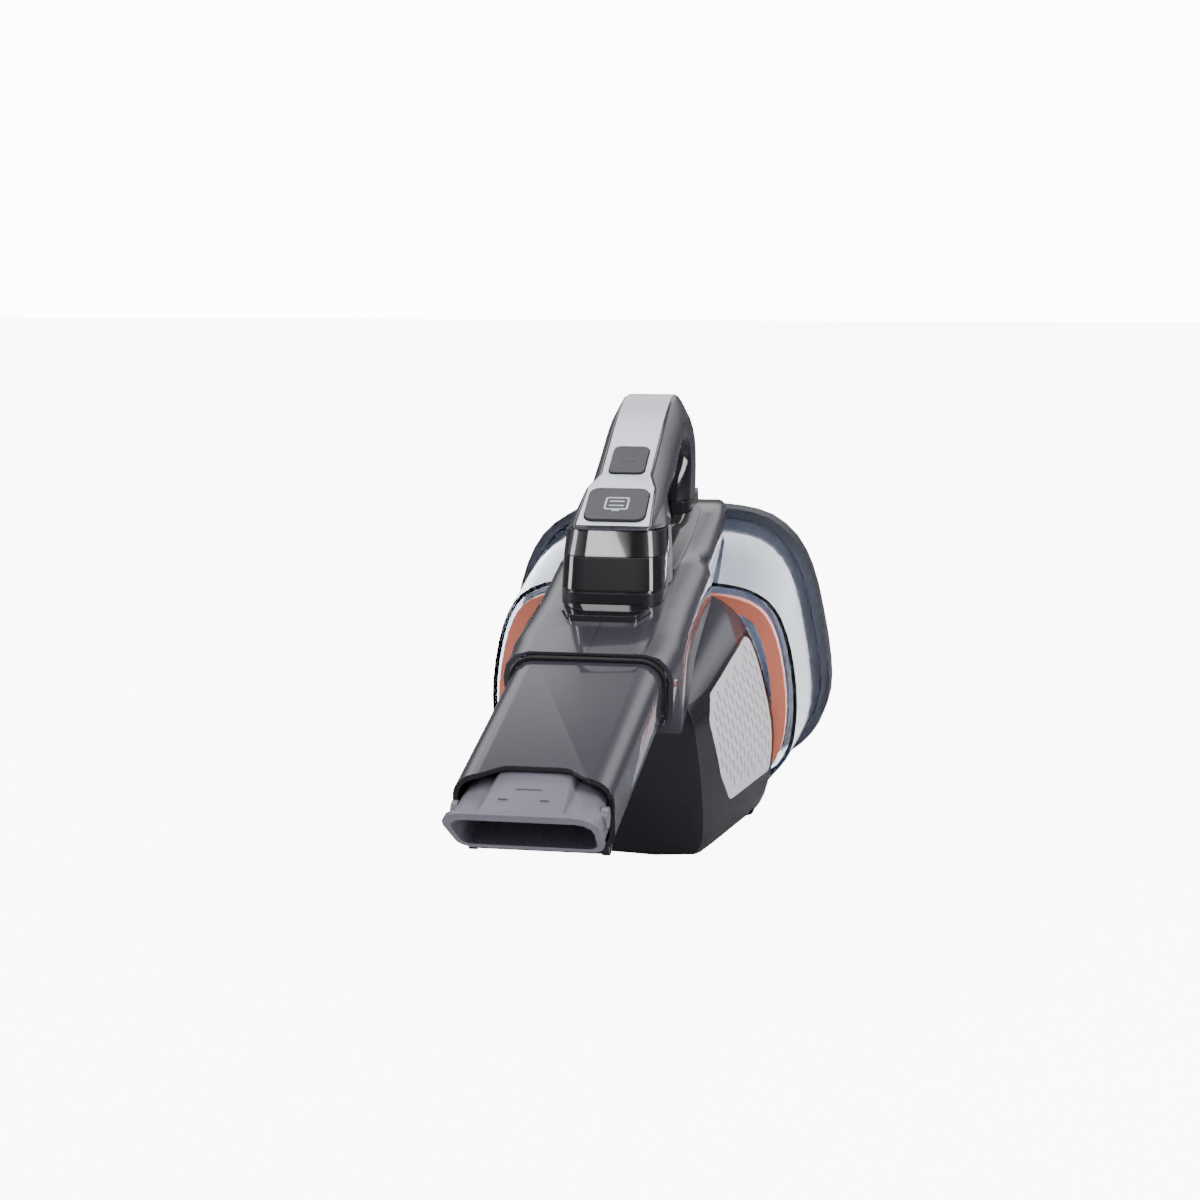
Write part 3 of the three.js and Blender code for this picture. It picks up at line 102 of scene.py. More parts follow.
class VacuumColours(bpy.types.PropertyGroup):
    shell: colour("Titanium", (0.054, 0.050, 0.070), "Glossy mouldings of the spine, nozzle and handle")
    tip: colour("Nozzle tip", (0.190, 0.178, 0.225), "Satin sliding tip")
    strip: colour("Handle strip", (0.780, 0.800, 0.880), "Silver paint of the handle strip")
    # gloss black also serves as painted shade: on the duct's front edge and on the faces round the finger gap
    gloss_black: colour("Gloss black", (0.010, 0.010, 0.013), "Posts and base")
    satin_black: colour("Satin black", (0.020, 0.020, 0.024), "Inner mouldings")
    rim: colour("Rim", (0.040, 0.044, 0.062), "Rear door and its rim")
    keys: colour("Keys", (0.024, 0.026, 0.036), "Keys, latch and filter dial")
    vent: colour("Vents", (0.700, 0.710, 0.760), "Perforated side vents")
    bowl: colour("Bowl", (0.830, 0.880, 0.960), "Clear dust bowl")
    seal: colour("Sealing ring", (0.680, 0.190, 0.120), "Salmon ring at the bowl's mouth")
    mark: colour("Printed marks", (0.600, 0.620, 0.680), "Symbols on the keys")


class VacuumDetails(bpy.types.PropertyGroup):
    gauze_around: IntProperty(
        name="Gauze wires", description="Wires round the filter gauze", default=84, min=12, max=200
    )
    gauze_along: IntProperty(
        name="Gauze rings", description="Rings along the filter gauze", default=30, min=4, max=90
    )
    bristles: IntProperty(
        name="Bristles", description="Hairs in each tuft of the brush", default=26, min=4, max=80
    )


class VacuumStage(bpy.types.PropertyGroup):
    azimuth: FloatProperty(
        name="Azimuth", description="Turn of the camera round the vacuum",
        default=math.radians(10.15), subtype="ANGLE",
    )
    elevation: FloatProperty(
        name="Elevation", description="Tilt of the camera below level",
        default=math.radians(8.8), subtype="ANGLE",
    )
    lens: FloatProperty(
        name="Lens", description="Focal length on a 36 mm sensor, in millimetres", default=65.94
    )


# ---------------------------------------------------------------- node helpers


def link(tree, value, socket):
    """Feeds a socket from another socket, or sets its own value."""
    if isinstance(value, bpy.types.NodeSocket):
        tree.links.new(value, socket)
    elif value is not None:
        socket.default_value = value


def place(tree, kind, inputs=(), **settings):
    """A new node with its settings, and its inputs linked or set by index or name."""
    node = tree.nodes.new(kind)
    for key, value in settings.items():
        setattr(node, key, value)
    pairs = inputs.items() if isinstance(inputs, dict) else enumerate(inputs)
    for key, value in pairs:
        link(tree, value, node.inputs[key])
    return node


def maths(tree, operation, *values):
    return place(tree, "ShaderNodeMath", values, operation=operation).outputs[0]


def new_group(name, kind, sockets):
    """An empty node group with named inputs and outputs: (name, in or out, type, default)."""
    tree = bpy.data.node_groups.new(name, kind)
    for label, way, socket_type, default in sockets:
        socket = tree.interface.new_socket(
            name=label, in_out=way, socket_type="NodeSocket" + socket_type
        )
        if default is not None:
            socket.default_value = default
    return tree, tree.nodes.new("NodeGroupInput"), tree.nodes.new("NodeGroupOutput")


# ---------------------------------------------------------------- finishes


def moulded_surface():
    """Fine moulding texture: a slow drift of colour, a grain, and patches of handling polish."""
    name = "Moulded surface"
    if name in bpy.data.node_groups:
        return bpy.data.node_groups[name]
    tree, given, out = new_group(name, "ShaderNodeTree", [
        ("Colour", "INPUT", "Color", (0.5, 0.5, 0.5, 1)),
        ("Variation", "INPUT", "Float", 0.05),
        ("Grain per metre", "INPUT", "Float", 1500.0),
        ("Roughness", "INPUT", "Float", 0.4),
        ("Roughness spread", "INPUT", "Float", 0.08),
        ("Colour", "OUTPUT", "Color", None),
        ("Roughness", "OUTPUT", "Float", None),
        ("Height", "OUTPUT", "Float", None),
    ])
    here = place(tree, "ShaderNodeTexCoord").outputs["Object"]
    drift = place(tree, "ShaderNodeTexNoise", {"Vector": here, "Scale": 14.0, "Detail": 3.0})
    grain = place(tree, "ShaderNodeTexNoise", {
        "Vector": here, "Scale": given.outputs["Grain per metre"], "Detail": 2.0,
    })
    polish = place(tree, "ShaderNodeTexNoise", {
        "Vector": here, "Scale": 55.0, "Detail": 5.0, "Roughness": 0.65,
    })
    swing = maths(tree, "MULTIPLY_ADD", drift.outputs[0], 2.0, -1.0)
    shift = maths(tree, "MULTIPLY_ADD", swing, given.outputs["Variation"], 1.0)
    tint = place(tree, "ShaderNodeVectorMath", [given.outputs["Colour"]], operation="SCALE")
    link(tree, shift, tint.inputs["Scale"])
    wander = maths(tree, "MULTIPLY_ADD", polish.outputs[0], 2.0, -1.0)
    rough = maths(
        tree, "MULTIPLY_ADD", wander, given.outputs["Roughness spread"], given.outputs["Roughness"]
    )
    link(tree, tint.outputs[0], out.inputs["Colour"])
    link(tree, rough, out.inputs["Roughness"])
    link(tree, grain.outputs[0], out.inputs["Height"])
    return tree


def fine_scratches():
    """Sparse hairline rubs, as a mask, for gloss that has been handled."""
    name = "Fine scratches"
    if name in bpy.data.node_groups:
        return bpy.data.node_groups[name]
    tree, given, out = new_group(name, "ShaderNodeTree", [
        ("Roughness", "INPUT", "Float", 0.1),
        ("Amount", "INPUT", "Float", 0.1),
        ("Roughness", "OUTPUT", "Float", None),
    ])
    here = place(tree, "ShaderNodeTexCoord").outputs["Object"]
    layers = []
    for turn in (0.35, 1.9):
        lay = place(tree, "ShaderNodeMapping", {
            "Vector": here, "Rotation": (0.3, turn, turn * 1.7), "Scale": (1.0, 26.0, 26.0),
        })
        line = place(tree, "ShaderNodeTexNoise", {
            "Vector": lay.outputs[0], "Scale": 46.0, "Detail": 2.0, "Roughness": 0.5,
        })
        layers.append(place(tree, "ShaderNodeMapRange", {
            "Value": line.outputs[0], "From Min": 0.66, "From Max": 0.72,
        }).outputs[0])
    both = maths(tree, "MAXIMUM", *layers)
    link(tree, maths(tree, "MULTIPLY_ADD", both, given.outputs["Amount"], given.outputs["Roughness"]),
         out.inputs["Roughness"])
    return tree


def finish_of(name, tint, rough, *, spread=0.04, variation=0.05, grain=1500.0, bump=0.02,
              edge=0.35 * MM, scratches=0.0, metallic=0.0, coat=0.0, coat_rough=0.05,
              clear=0.0, ior=1.5, sheen=0.0, specular=0.5):
    """A Principled material with moulding texture, soft edges and, on gloss, hairline rubs."""
    material = bpy.data.materials.get(name)
    if material:
        return material
    material = bpy.data.materials.new(name)
    material.use_nodes = True
    tree = material.node_tree
    shader = tree.nodes["Principled BSDF"]
    surface = place(tree, "ShaderNodeGroup", node_tree=moulded_surface())
    for key, value in {
        "Colour": (*tint, 1), "Variation": variation, "Grain per metre": grain,
        "Roughness": rough, "Roughness spread": spread,
    }.items():
        surface.inputs[key].default_value = value
    link(tree, surface.outputs["Colour"], shader.inputs["Base Color"])
    roughness = surface.outputs["Roughness"]
    if scratches:
        rubs = place(tree, "ShaderNodeGroup", node_tree=fine_scratches())
        link(tree, roughness, rubs.inputs["Roughness"])
        rubs.inputs["Amount"].default_value = scratches
        roughness = rubs.outputs["Roughness"]
    link(tree, roughness, shader.inputs["Roughness"])
    relief = place(tree, "ShaderNodeBump", {
        "Strength": bump, "Distance": 0.1 * MM, "Height": surface.outputs["Height"],
    })
    if edge:
        soft = place(tree, "ShaderNodeBevel", {"Radius": edge}, samples=4)
        link(tree, soft.outputs[0], relief.inputs["Normal"])
    link(tree, relief.outputs[0], shader.inputs["Normal"])
    for key, value in {
        "Metallic": metallic, "Coat Weight": coat, "Coat Roughness": coat_rough, "IOR": ior,
        "Transmission Weight": clear, "Sheen Weight": sheen, "Specular IOR Level": specular,
    }.items():
        shader.inputs[key].default_value = value
    material.diffuse_color = (*tint, 1)
    return material


def finishes():
    """Every finish of the vacuum by its slot in the record."""
    c = bpy.context.scene.vacuum_colours
    return {
        "titanium": finish_of("Titanium gloss", c.shell, 0.20, spread=0.03, metallic=0.15, coat=1.0,
                              coat_rough=0.035, grain=2600, bump=0.03, scratches=0.05),
        "pale_plastic": finish_of("Tip satin", c.tip, 0.34, spread=0.05, grain=2200, bump=0.12,
                                  coat=0.15, coat_rough=0.2),
        "silver_strip": finish_of("Silver paint", c.strip, 0.36, spread=0.03, metallic=0.25,
                                  grain=5200, bump=0.05, coat=0.25, coat_rough=0.12),
        "black_gloss": finish_of("Gloss black", c.gloss_black, 0.09, spread=0.02, coat=1.0,
                                 coat_rough=0.03, bump=0.01, scratches=0.06, edge=0.8 * MM),
        "black_satin": finish_of("Satin black", c.satin_black, 0.38, bump=0.12),
        "rim_grey": finish_of("Rim slate", c.rim, 0.34, spread=0.05, bump=0.08, coat=0.3,
                              coat_rough=0.15),
        "key_grey": finish_of("Key slate", c.keys, 0.36, spread=0.04, bump=0.15, grain=3200),
        "vent_pale": finish_of("Vent pale", c.vent, 0.36, spread=0.05, bump=0.10, grain=2400),
        "clear_bowl": finish_of("Clear bowl", c.bowl, 0.045, spread=0.02, variation=0.01,
                                clear=1.0, ior=1.30, bump=0.012, edge=0.0, grain=300,
                                scratches=0.10),
        "salmon": finish_of("Seal salmon", c.seal, 0.45, spread=0.06, bump=0.15),
        "rubber": finish_of("Rubber", (0.016, 0.016, 0.017), 0.62, spread=0.08, bump=0.25),
        "steel": finish_of("Steel", (0.52, 0.53, 0.55), 0.28, metallic=1.0, scratches=0.2,
                           edge=0.15 * MM),
        "brass": finish_of("Contact", (0.78, 0.60, 0.30), 0.22, metallic=1.0, scratches=0.2,
                           edge=0.15 * MM),
        "cell_wrap": finish_of("Cell wrap", (0.04, 0.14, 0.32), 0.28, coat=0.3),
        "board": finish_of("Circuit board", (0.02, 0.11, 0.05), 0.35, variation=0.25),
        "paper": finish_of("Filter paper", (0.78, 0.76, 0.68), 0.85, spread=0.05, grain=900,
                           bump=0.6, sheen=0.2, edge=0.0),
    }


def soften(obj, limit=math.radians(38)):
    """Smooth shading across faces that meet at less than the limit; the vertices stay."""
    mesh = obj.data
    count = len(mesh.polygons)
    co = np.empty(len(mesh.vertices) * 3)
    mesh.vertices.foreach_get("co", co)
    co = co.reshape(-1, 3)
    corner = np.empty(len(mesh.loops), int)
    mesh.loops.foreach_get("vertex_index", corner)
    corner = corner.reshape(count, 3)
    tri = co[corner]
    normal = np.cross(tri[:, 1] - tri[:, 0], tri[:, 2] - tri[:, 0])
    area = np.linalg.norm(normal, axis=1)
    normal /= np.maximum(area, 1e-18)[:, None]
    weight = np.empty((count, 3))
    for k in range(3):
        a = tri[:, (k + 1) % 3] - tri[:, k]
        b = tri[:, (k + 2) % 3] - tri[:, k]
        size = np.maximum(np.linalg.norm(a, axis=1) * np.linalg.norm(b, axis=1), 1e-18)
        weight[:, k] = np.arccos(np.clip((a * b).sum(1) / size, -1, 1))
    key = np.round(co * 1e6).astype(np.int64)
    same = np.unique(key, axis=0, return_inverse=True)[1].reshape(-1)[corner]
    around = {}
    for face in range(count):
        for k in range(3):
            around.setdefault(int(same[face, k]), []).append((face, k))
    smooth = np.zeros((count, 3, 3))
    bound = math.cos(limit)
    for members in around.values():
        faces = np.array([m[0] for m in members])
        corners = np.array([m[1] for m in members])
        near = (normal[faces] @ normal[faces].T) > bound
        smooth[faces, corners] = near @ (normal[faces] * weight[faces, corners][:, None])
    smooth = smooth.reshape(-1, 3)
    length = np.linalg.norm(smooth, axis=1)
    flat = np.repeat(normal, 3, axis=0)
    smooth = np.where(length[:, None] > 1e-9, smooth / np.maximum(length, 1e-12)[:, None], flat)
    mesh.polygons.foreach_set("use_smooth", np.ones(count, bool))
    mesh.normals_split_custom_set(smooth.tolist())


def piece(name, mesh, body, slot, *, smooth=math.radians(35), replaces=()):
    """A finished piece: linked, shaded, given its finish, and riding on its body."""
    obj = bpy.data.objects.new(name, mesh)
    bpy.context.scene.collection.objects.link(obj)
    for polygon in mesh.polygons:
        polygon.use_smooth = True
    mesh.set_sharp_from_angle(angle=smooth)
    if not mesh.materials:
        mesh.materials.append(finishes()[slot])
    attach(obj, body)
    if replaces:
        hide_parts(*replaces)
    return obj


def prism(outline, hole, to_place, top, bottom):
    """A flat plate between two heights with a rounded outline and an optional hole."""
    work = bmesh.new()
    loops = [outline] + ([hole] if hole else [])
    rings = [
        [[work.verts.new(to_place(x, y, z)) for x, y in loop] for z in (top, bottom)]
        for loop in loops
    ]
    for index, (upper, lower) in enumerate(rings):
        for i in range(len(upper)):
            j = (i + 1) % len(upper)
            wall = (upper[i], lower[i], lower[j], upper[j])
            work.faces.new(wall if index == 0 else wall[::-1])
    for level in (0, 1):
        if hole:
            a, b = rings[0][level], rings[1][level]
            for i in range(len(a)):
                j = (i + 1) % len(a)
                quad = (a[i], a[j], b[j], b[i])
                work.faces.new(quad if level == 0 else quad[::-1])
        else:
            ring = rings[0][level]
            work.faces.new(ring if level == 0 else ring[::-1])
    return work


def rounded_box(half_x, half_y, radius, steps=4, centre=(0, 0)):
    """Outline of a rounded rectangle, anticlockwise."""
    points = []
    for quarter, (sx, sy) in enumerate(((1, 1), (-1, 1), (-1, -1), (1, -1))):
        for i in range(steps + 1):
            angle = math.radians(90) * (quarter + i / steps)
            points.append((
                centre[0] + sx * (half_x - radius) + radius * math.cos(angle),
                centre[1] + sy * (half_y - radius) + radius * math.sin(angle),
            ))
    return points


def plates(name, shapes, to_place, top, bottom):
    """One mesh of several prisms: each shape is an outline, or an outline with a hole."""
    whole = bmesh.new()
    for outline, hole in shapes:
        part = prism(outline, hole, to_place, top, bottom)
        scrap = bpy.data.meshes.new("scrap")
        part.to_mesh(scrap)
        part.free()
        whole.from_mesh(scrap)
        bpy.data.meshes.remove(scrap)
    bmesh.ops.recalc_face_normals(whole, faces=whole.faces)
    mesh = bpy.data.meshes.new(name)
    whole.to_mesh(mesh)
    whole.free()
    return mesh


def node_points(node):
    return np.array([v.co for v in NODES[node].data.vertices])


def finished_mesh(obj, name):
    """The evaluated object as a plain mesh, its modifiers gone."""
    graph = bpy.context.evaluated_depsgraph_get()
    mesh = bpy.data.meshes.new_from_object(obj.evaluated_get(graph))
    mesh.name = name
    bpy.data.objects.remove(obj)
    return mesh


def grow(name, base, tree, values):
    """Runs a Geometry Nodes tree on a mesh with named input values and returns the result."""
    holder = bpy.data.objects.new(name + "_work", base)
    bpy.context.scene.collection.objects.link(holder)
    modifier = holder.modifiers.new("Build", "NODES")
    modifier.node_group = tree
    for item in tree.interface.items_tree:
        if item.item_type == "SOCKET" and item.in_out == "INPUT" and item.name in values:
            modifier[item.identifier] = values[item.name]
    bpy.context.view_layer.update()
    return finished_mesh(holder, name)


# ---------------------------------------------------------------- operators


class VACUUM_OT_finish_frame(bpy.types.Operator):
    """Give every part of the frame its finish and smooth shading"""

    bl_idname = "vacuum.finish_frame"
    bl_label = "Finish the frame"

    def execute(self, context):
        made = finishes()
        slots = {s["node"]: s["material_slot"] for s in frame["record"]["subparts"]}
        for node, obj in NODES.items():
            obj.data.materials.clear()
            obj.data.materials.append(made[slots[node]])
            soften(obj)
        return {"FINISHED"}


def gauze_tree():
    """Weaves a cone of crossed wires about the Y axis."""
    name = "Wire gauze"
    if name in bpy.data.node_groups:
        return bpy.data.node_groups[name]
    tree, given, out = new_group(name, "GeometryNodeTree", [
        ("Geometry", "INPUT", "Geometry", None),
        ("Wires", "OUTPUT", "Geometry", None),
        ("Start", "INPUT", "Vector", None),
        ("Length", "INPUT", "Float", 0.05),
        ("Start radius", "INPUT", "Float", 0.03),
        ("End radius", "INPUT", "Float", 0.025),
        ("Around", "INPUT", "Int", 60),
        ("Along", "INPUT", "Int", 24),
        ("Wire radius", "INPUT", "Float", 0.0002),
        ("Finish", "INPUT", "Material", None),
    ])
    g = given.outputs
    net = place(tree, "GeometryNodeMeshGrid", {
        "Size X": 1.0, "Size Y": 1.0, "Vertices X": g["Around"], "Vertices Y": g["Along"],
    })
    spot = place(tree, "ShaderNodeSeparateXYZ", [
        place(tree, "GeometryNodeInputPosition").outputs[0]]).outputs
    share = maths(tree, "ADD", spot["Y"], 0.5)
    angle = maths(tree, "MULTIPLY", spot["X"], math.tau)
    narrowing = maths(tree, "SUBTRACT", g["End radius"], g["Start radius"])
    radius = maths(tree, "MULTIPLY_ADD", share, narrowing, g["Start radius"])
    ring = place(tree, "ShaderNodeCombineXYZ", [
        maths(tree, "MULTIPLY", radius, maths(tree, "COSINE", angle)),
        maths(tree, "MULTIPLY", share, g["Length"]),
        maths(tree, "MULTIPLY", radius, maths(tree, "SINE", angle)),
    ])
    where = place(tree, "ShaderNodeVectorMath", [ring.outputs[0], g["Start"]], operation="ADD")
    bent = place(tree, "GeometryNodeSetPosition", {
        "Geometry": net.outputs[0], "Position": where.outputs[0]})
    closed = place(tree, "GeometryNodeMergeByDistance", {
        "Geometry": bent.outputs[0], "Distance": 0.02 * MM})
    paths = place(tree, "GeometryNodeMeshToCurve", {"Mesh": closed.outputs[0]})
    round_wire = place(tree, "GeometryNodeCurvePrimitiveCircle", {
        "Resolution": 4, "Radius": g["Wire radius"]})
    wires = place(tree, "GeometryNodeCurveToMesh", {
        "Curve": paths.outputs[0], "Profile Curve": round_wire.outputs[0], "Fill Caps": True})
    solid = place(tree, "GeometryNodeRealizeInstances", {"Geometry": wires.outputs[0]})
    metal = place(tree, "GeometryNodeSetMaterial", {
        "Geometry": solid.outputs[0], "Material": g["Finish"]})
    link(tree, metal.outputs[0], out.inputs["Wires"])
    return tree


class VACUUM_OT_duct_gap_shade(bpy.types.Operator):
    """Paint gloss black on the duct's cut front edge and the walls inside it: painted shade for the shadow gap
    round the tip
    """

    bl_idname = "vacuum.duct_edge"
    bl_label = "Duct edge"

    def execute(self, context):
        mesh = NODES["nozzle_duct"].data
        mesh.materials.append(finishes()["black_gloss"])
        front = max(FORWARD.dot(v.co) for v in mesh.vertices)
        for face in mesh.polygons:
            depth = front - FORWARD.dot(face.center)
            # forward faces near the mouth take gloss black: painted shade of the gap between duct and tip
            if face.normal.dot(FORWARD) > 0.3 and depth < DUCT_GAP_SHADE_DEEP:
                face.material_index = 1
        return {"FINISHED"}


class VACUUM_OT_tip_marks(bpy.types.Operator):
    """Raise the three small grip marks on the tip's thumb pad"""

    bl_idname = "vacuum.tip_marks"
    bl_label = "Tip marks"

    def execute(self, context):
        points = node_points("nozzle_tip")
        along = points @ np.array(FORWARD)
        height = points @ np.array(NOZZLE_UP)
        front = float(along.max())
        # the pad's top runs straight from a bend inside the duct to the upper lip
        bend = (along > front - TIP_BEND[1]) & (along < front - TIP_BEND[0])
        low = float(height[bend].max())
        start = float(along[bend][height[bend].argmax()])
        rise = (float(height[along > front - 2 * MM].max()) - low) / (front - start)
        pad = front - TIP_MARKS_BACK

        def to_place(x, y, z):
            level = low + rise * (pad - y - start)
            return FORWARD * (pad - y) + NOZZLE_UP * (level + z) + Vector((x, 0, 0))

        wide = rounded_box(5.2 * MM, 0.4 * MM, 0.36 * MM, 3, (0, 5.0 * MM))
        small = [rounded_box(1.8 * MM, 0.4 * MM, 0.36 * MM, 3, (x * MM, -5.0 * MM)) for x in (-8, 8)]
        mesh = plates("tip_marks", [(wide, None), *((one, None) for one in small)],
                      to_place, 0.35 * MM, -0.3 * MM)
        piece("tip_marks", mesh, "tip", "pale_plastic")
        return {"FINISHED"}


class VACUUM_OT_filter_gauze(bpy.types.Operator):
    """Weave the wire gauze round the pleated filter"""

    bl_idname = "vacuum.filter_gauze"
    bl_label = "Filter gauze"

    def execute(self, context):
        points = node_points("mesh_sleeve")
        low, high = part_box("mesh_sleeve")
        middle = (low + high) / 2
        reach = np.hypot(points[:, 0] - middle.x, points[:, 2] - middle.z)
        front = reach[points[:, 1] < low.y + 2 * MM].max()
        back = reach[points[:, 1] > high.y - 2 * MM].max()
        seed = bpy.data.meshes.new("gauze_seed")
        mesh = grow("filter_gauze", seed, gauze_tree(), {
            "Start": (middle.x, low.y, middle.z), "Length": high.y - low.y,
            "Start radius": float(front) - 0.3 * MM, "End radius": float(back) - 0.3 * MM,
            "Around": context.scene.vacuum_details.gauze_around + 1,
            "Along": context.scene.vacuum_details.gauze_along,
            "Wire radius": 0.2 * MM, "Finish": finishes()["steel"],
        })
        if len(mesh.polygons) < 4000:
            raise RuntimeError("the gauze was not woven")
        piece("filter_gauze", mesh, "body", "steel", smooth=math.radians(80),
              replaces=("mesh_sleeve",))
        return {"FINISHED"}


def grip_tree():
    """Sets small ridges round a circle about the Y axis."""
    name = "Dial ridges"
    if name in bpy.data.node_groups:
        return bpy.data.node_groups[name]
    tree, given, out = new_group(name, "GeometryNodeTree", [
        ("Geometry", "INPUT", "Geometry", None),
        ("Ridges", "OUTPUT", "Geometry", None),
        ("Centre", "INPUT", "Vector", None),
        ("Radius", "INPUT", "Float", 0.02),
        ("Count", "INPUT", "Int", 36),
        ("Ridge size", "INPUT", "Vector", None),
        ("Finish", "INPUT", "Material", None),
    ])
    g = given.outputs
    ring = place(tree, "GeometryNodeMeshCircle", {"Vertices": g["Count"], "Radius": g["Radius"]})
    stood = place(tree, "GeometryNodeTransform", {
        "Geometry": ring.outputs[0], "Translation": g["Centre"],
        "Rotation": (math.radians(90), 0, 0)})
    index = place(tree, "GeometryNodeInputIndex").outputs[0]
    angle = maths(tree, "DIVIDE", maths(tree, "MULTIPLY", index, math.tau), g["Count"])
    spin = place(tree, "ShaderNodeCombineXYZ", [0.0, maths(tree, "MULTIPLY", angle, -1.0), 0.0])
    turned = place(tree, "FunctionNodeEulerToRotation", [spin.outputs[0]])
    bar = place(tree, "GeometryNodeMeshCylinder", {
        "Vertices": 8, "Radius": 0.5, "Depth": 1.0}, fill_type="NGON")
    laid = place(tree, "GeometryNodeTransform", {
        "Geometry": bar.outputs[0], "Rotation": (0, math.radians(90), 0)})
    ridges = place(tree, "GeometryNodeInstanceOnPoints", {
        "Points": stood.outputs[0], "Instance": laid.outputs[0],
        "Rotation": turned.outputs[0], "Scale": g["Ridge size"]})
    solid = place(tree, "GeometryNodeRealizeInstances", {"Geometry": ridges.outputs[0]})
    done = place(tree, "GeometryNodeSetMaterial", {
        "Geometry": solid.outputs[0], "Material": g["Finish"]})
    link(tree, done.outputs[0], out.inputs["Ridges"])
    return tree


class VACUUM_OT_dial_ridges(bpy.types.Operator):
    """Raise the grip ridges round the filter dial"""

    bl_idname = "vacuum.dial_ridges"
    bl_label = "Dial ridges"

    def execute(self, context):
        points = node_points("filter_dial")
        low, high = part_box("filter_dial")
        middle = (low + high) / 2
        reach = np.hypot(points[:, 0] - middle.x, points[:, 2] - middle.z)
        outer = float(reach.max())
        face = float(points[reach > outer - 1.5 * MM][:, 1].max())
        seed = bpy.data.meshes.new("ridge_seed")
        mesh = grow("dial_ridges", seed, grip_tree(), {
            "Centre": (middle.x, face, middle.z), "Radius": outer - 3.0 * MM, "Count": 40,
            "Ridge size": (3.4 * MM, 0.9 * MM, 1.3 * MM), "Finish": finishes()["key_grey"],
        })
        if len(mesh.polygons) < 300:
            raise RuntimeError("the dial ridges were not made")
        piece("dial_ridges", mesh, "dial", "key_grey")
        return {"FINISHED"}


class VACUUM_OT_handle_gap_shade(bpy.types.Operator):
    """Paint gloss black on the faces round the finger gap: painted shade for the inside of the handle loop"""

    bl_idname = "vacuum.handle_lining"
    bl_label = "Handle gap shade"

    def execute(self, context):
        gap = next(o for o in frame["record"]["physics"]["openings"] if o["name"] == "finger_gap_rear")
        centre = (Vector(gap["box_m"][0]) + Vector(gap["box_m"][1])) / 2
        for node in ("handle_left", "handle_right"):
            mesh = NODES[node].data
            mesh.materials.append(finishes()["black_gloss"])
            for face in mesh.polygons:
                to_gap = centre - face.center
                to_gap.x = 0
                # faces that look into the finger gap take gloss black: painted shade inside the loop
                if face.normal.dot(to_gap.normalized()) > 0.45 and to_gap.length > 5 * MM:
                    face.material_index = 1
        return {"FINISHED"}


def key_plane(node):
    """Centre of a key's top face, its outward normal and its up direction, from its mesh."""
    axis = next(Vector(j["axis"]) for j in frame["joints"] if j["child"] == node)
    out = -axis.normalized()
    across = Vector((1, 0, 0))
    up = out.cross(across).normalized()
    points = node_points(node)
    height = float((points @ np.array(out)).max())
    along = points @ np.array(up)
    centre = (along.min() + along.max()) / 2
    middle = up * float(centre) + out * height
    return middle, out, up


def on_key(node):
    """Turns a place on a key's face, and a height above it, into a point."""
    middle, out, up = key_plane(node)
    return lambda x, y, z: middle + Vector((1, 0, 0)) * x + up * y + out * z


class VACUUM_OT_key_marks(bpy.types.Operator):
    """Add the battery and boost symbols to the handle's keys"""

    bl_idname = "vacuum.key_marks"
    bl_label = "Key symbols"

    def execute(self, context):
        c = context.scene.vacuum_colours
        ink = finish_of("Printed marks", c.mark, 0.35, bump=0.02, edge=0.0)
        wide, tall, line = 5.6 * MM, 4.7 * MM, 0.42 * MM
        hollow = rounded_box(wide - line * 2, tall - line * 2, 0.7 * MM)
        shapes = [(rounded_box(wide, tall, 1.3 * MM), hollow)]
        for row in (-1, 1):
            shapes.append((rounded_box(wide * 0.62, line, line * 0.6, 2, (0, row * 1.6 * MM)), None))
        shapes.append((rounded_box(1.7 * MM, line, line * 0.6, 2, (0, -tall - line * 1.4)), None))
        mesh = plates("power_symbol", shapes, on_key("power_key"), 0.10 * MM, -0.15 * MM)
        mesh.materials.append(ink)
        piece("power_symbol", mesh, "power_key", "silver_strip")
        # the raised boost bars take the key colour made 1.35 times lighter: painted highlight where light catches
        # them
        lit_symbol_finish = finish_of("Raised symbol highlight", tuple(v * 1.35 for v in c.keys), 0.30, bump=0.02, edge=0.0)
        shapes = []
        for x, height in ((-2.1, 1.1), (0.0, 1.9), (2.1, 1.1)):
            shapes.append((rounded_box(0.42 * MM, height * MM, 0.3 * MM, 3, (x * MM, 0)), None))
        mesh = plates("boost_symbol", shapes, on_key("boost_key"), 0.16 * MM, -0.15 * MM)
        mesh.materials.append(lit_symbol_finish)
        piece("boost_symbol", mesh, "boost_key", "key_grey")
        return {"FINISHED"}


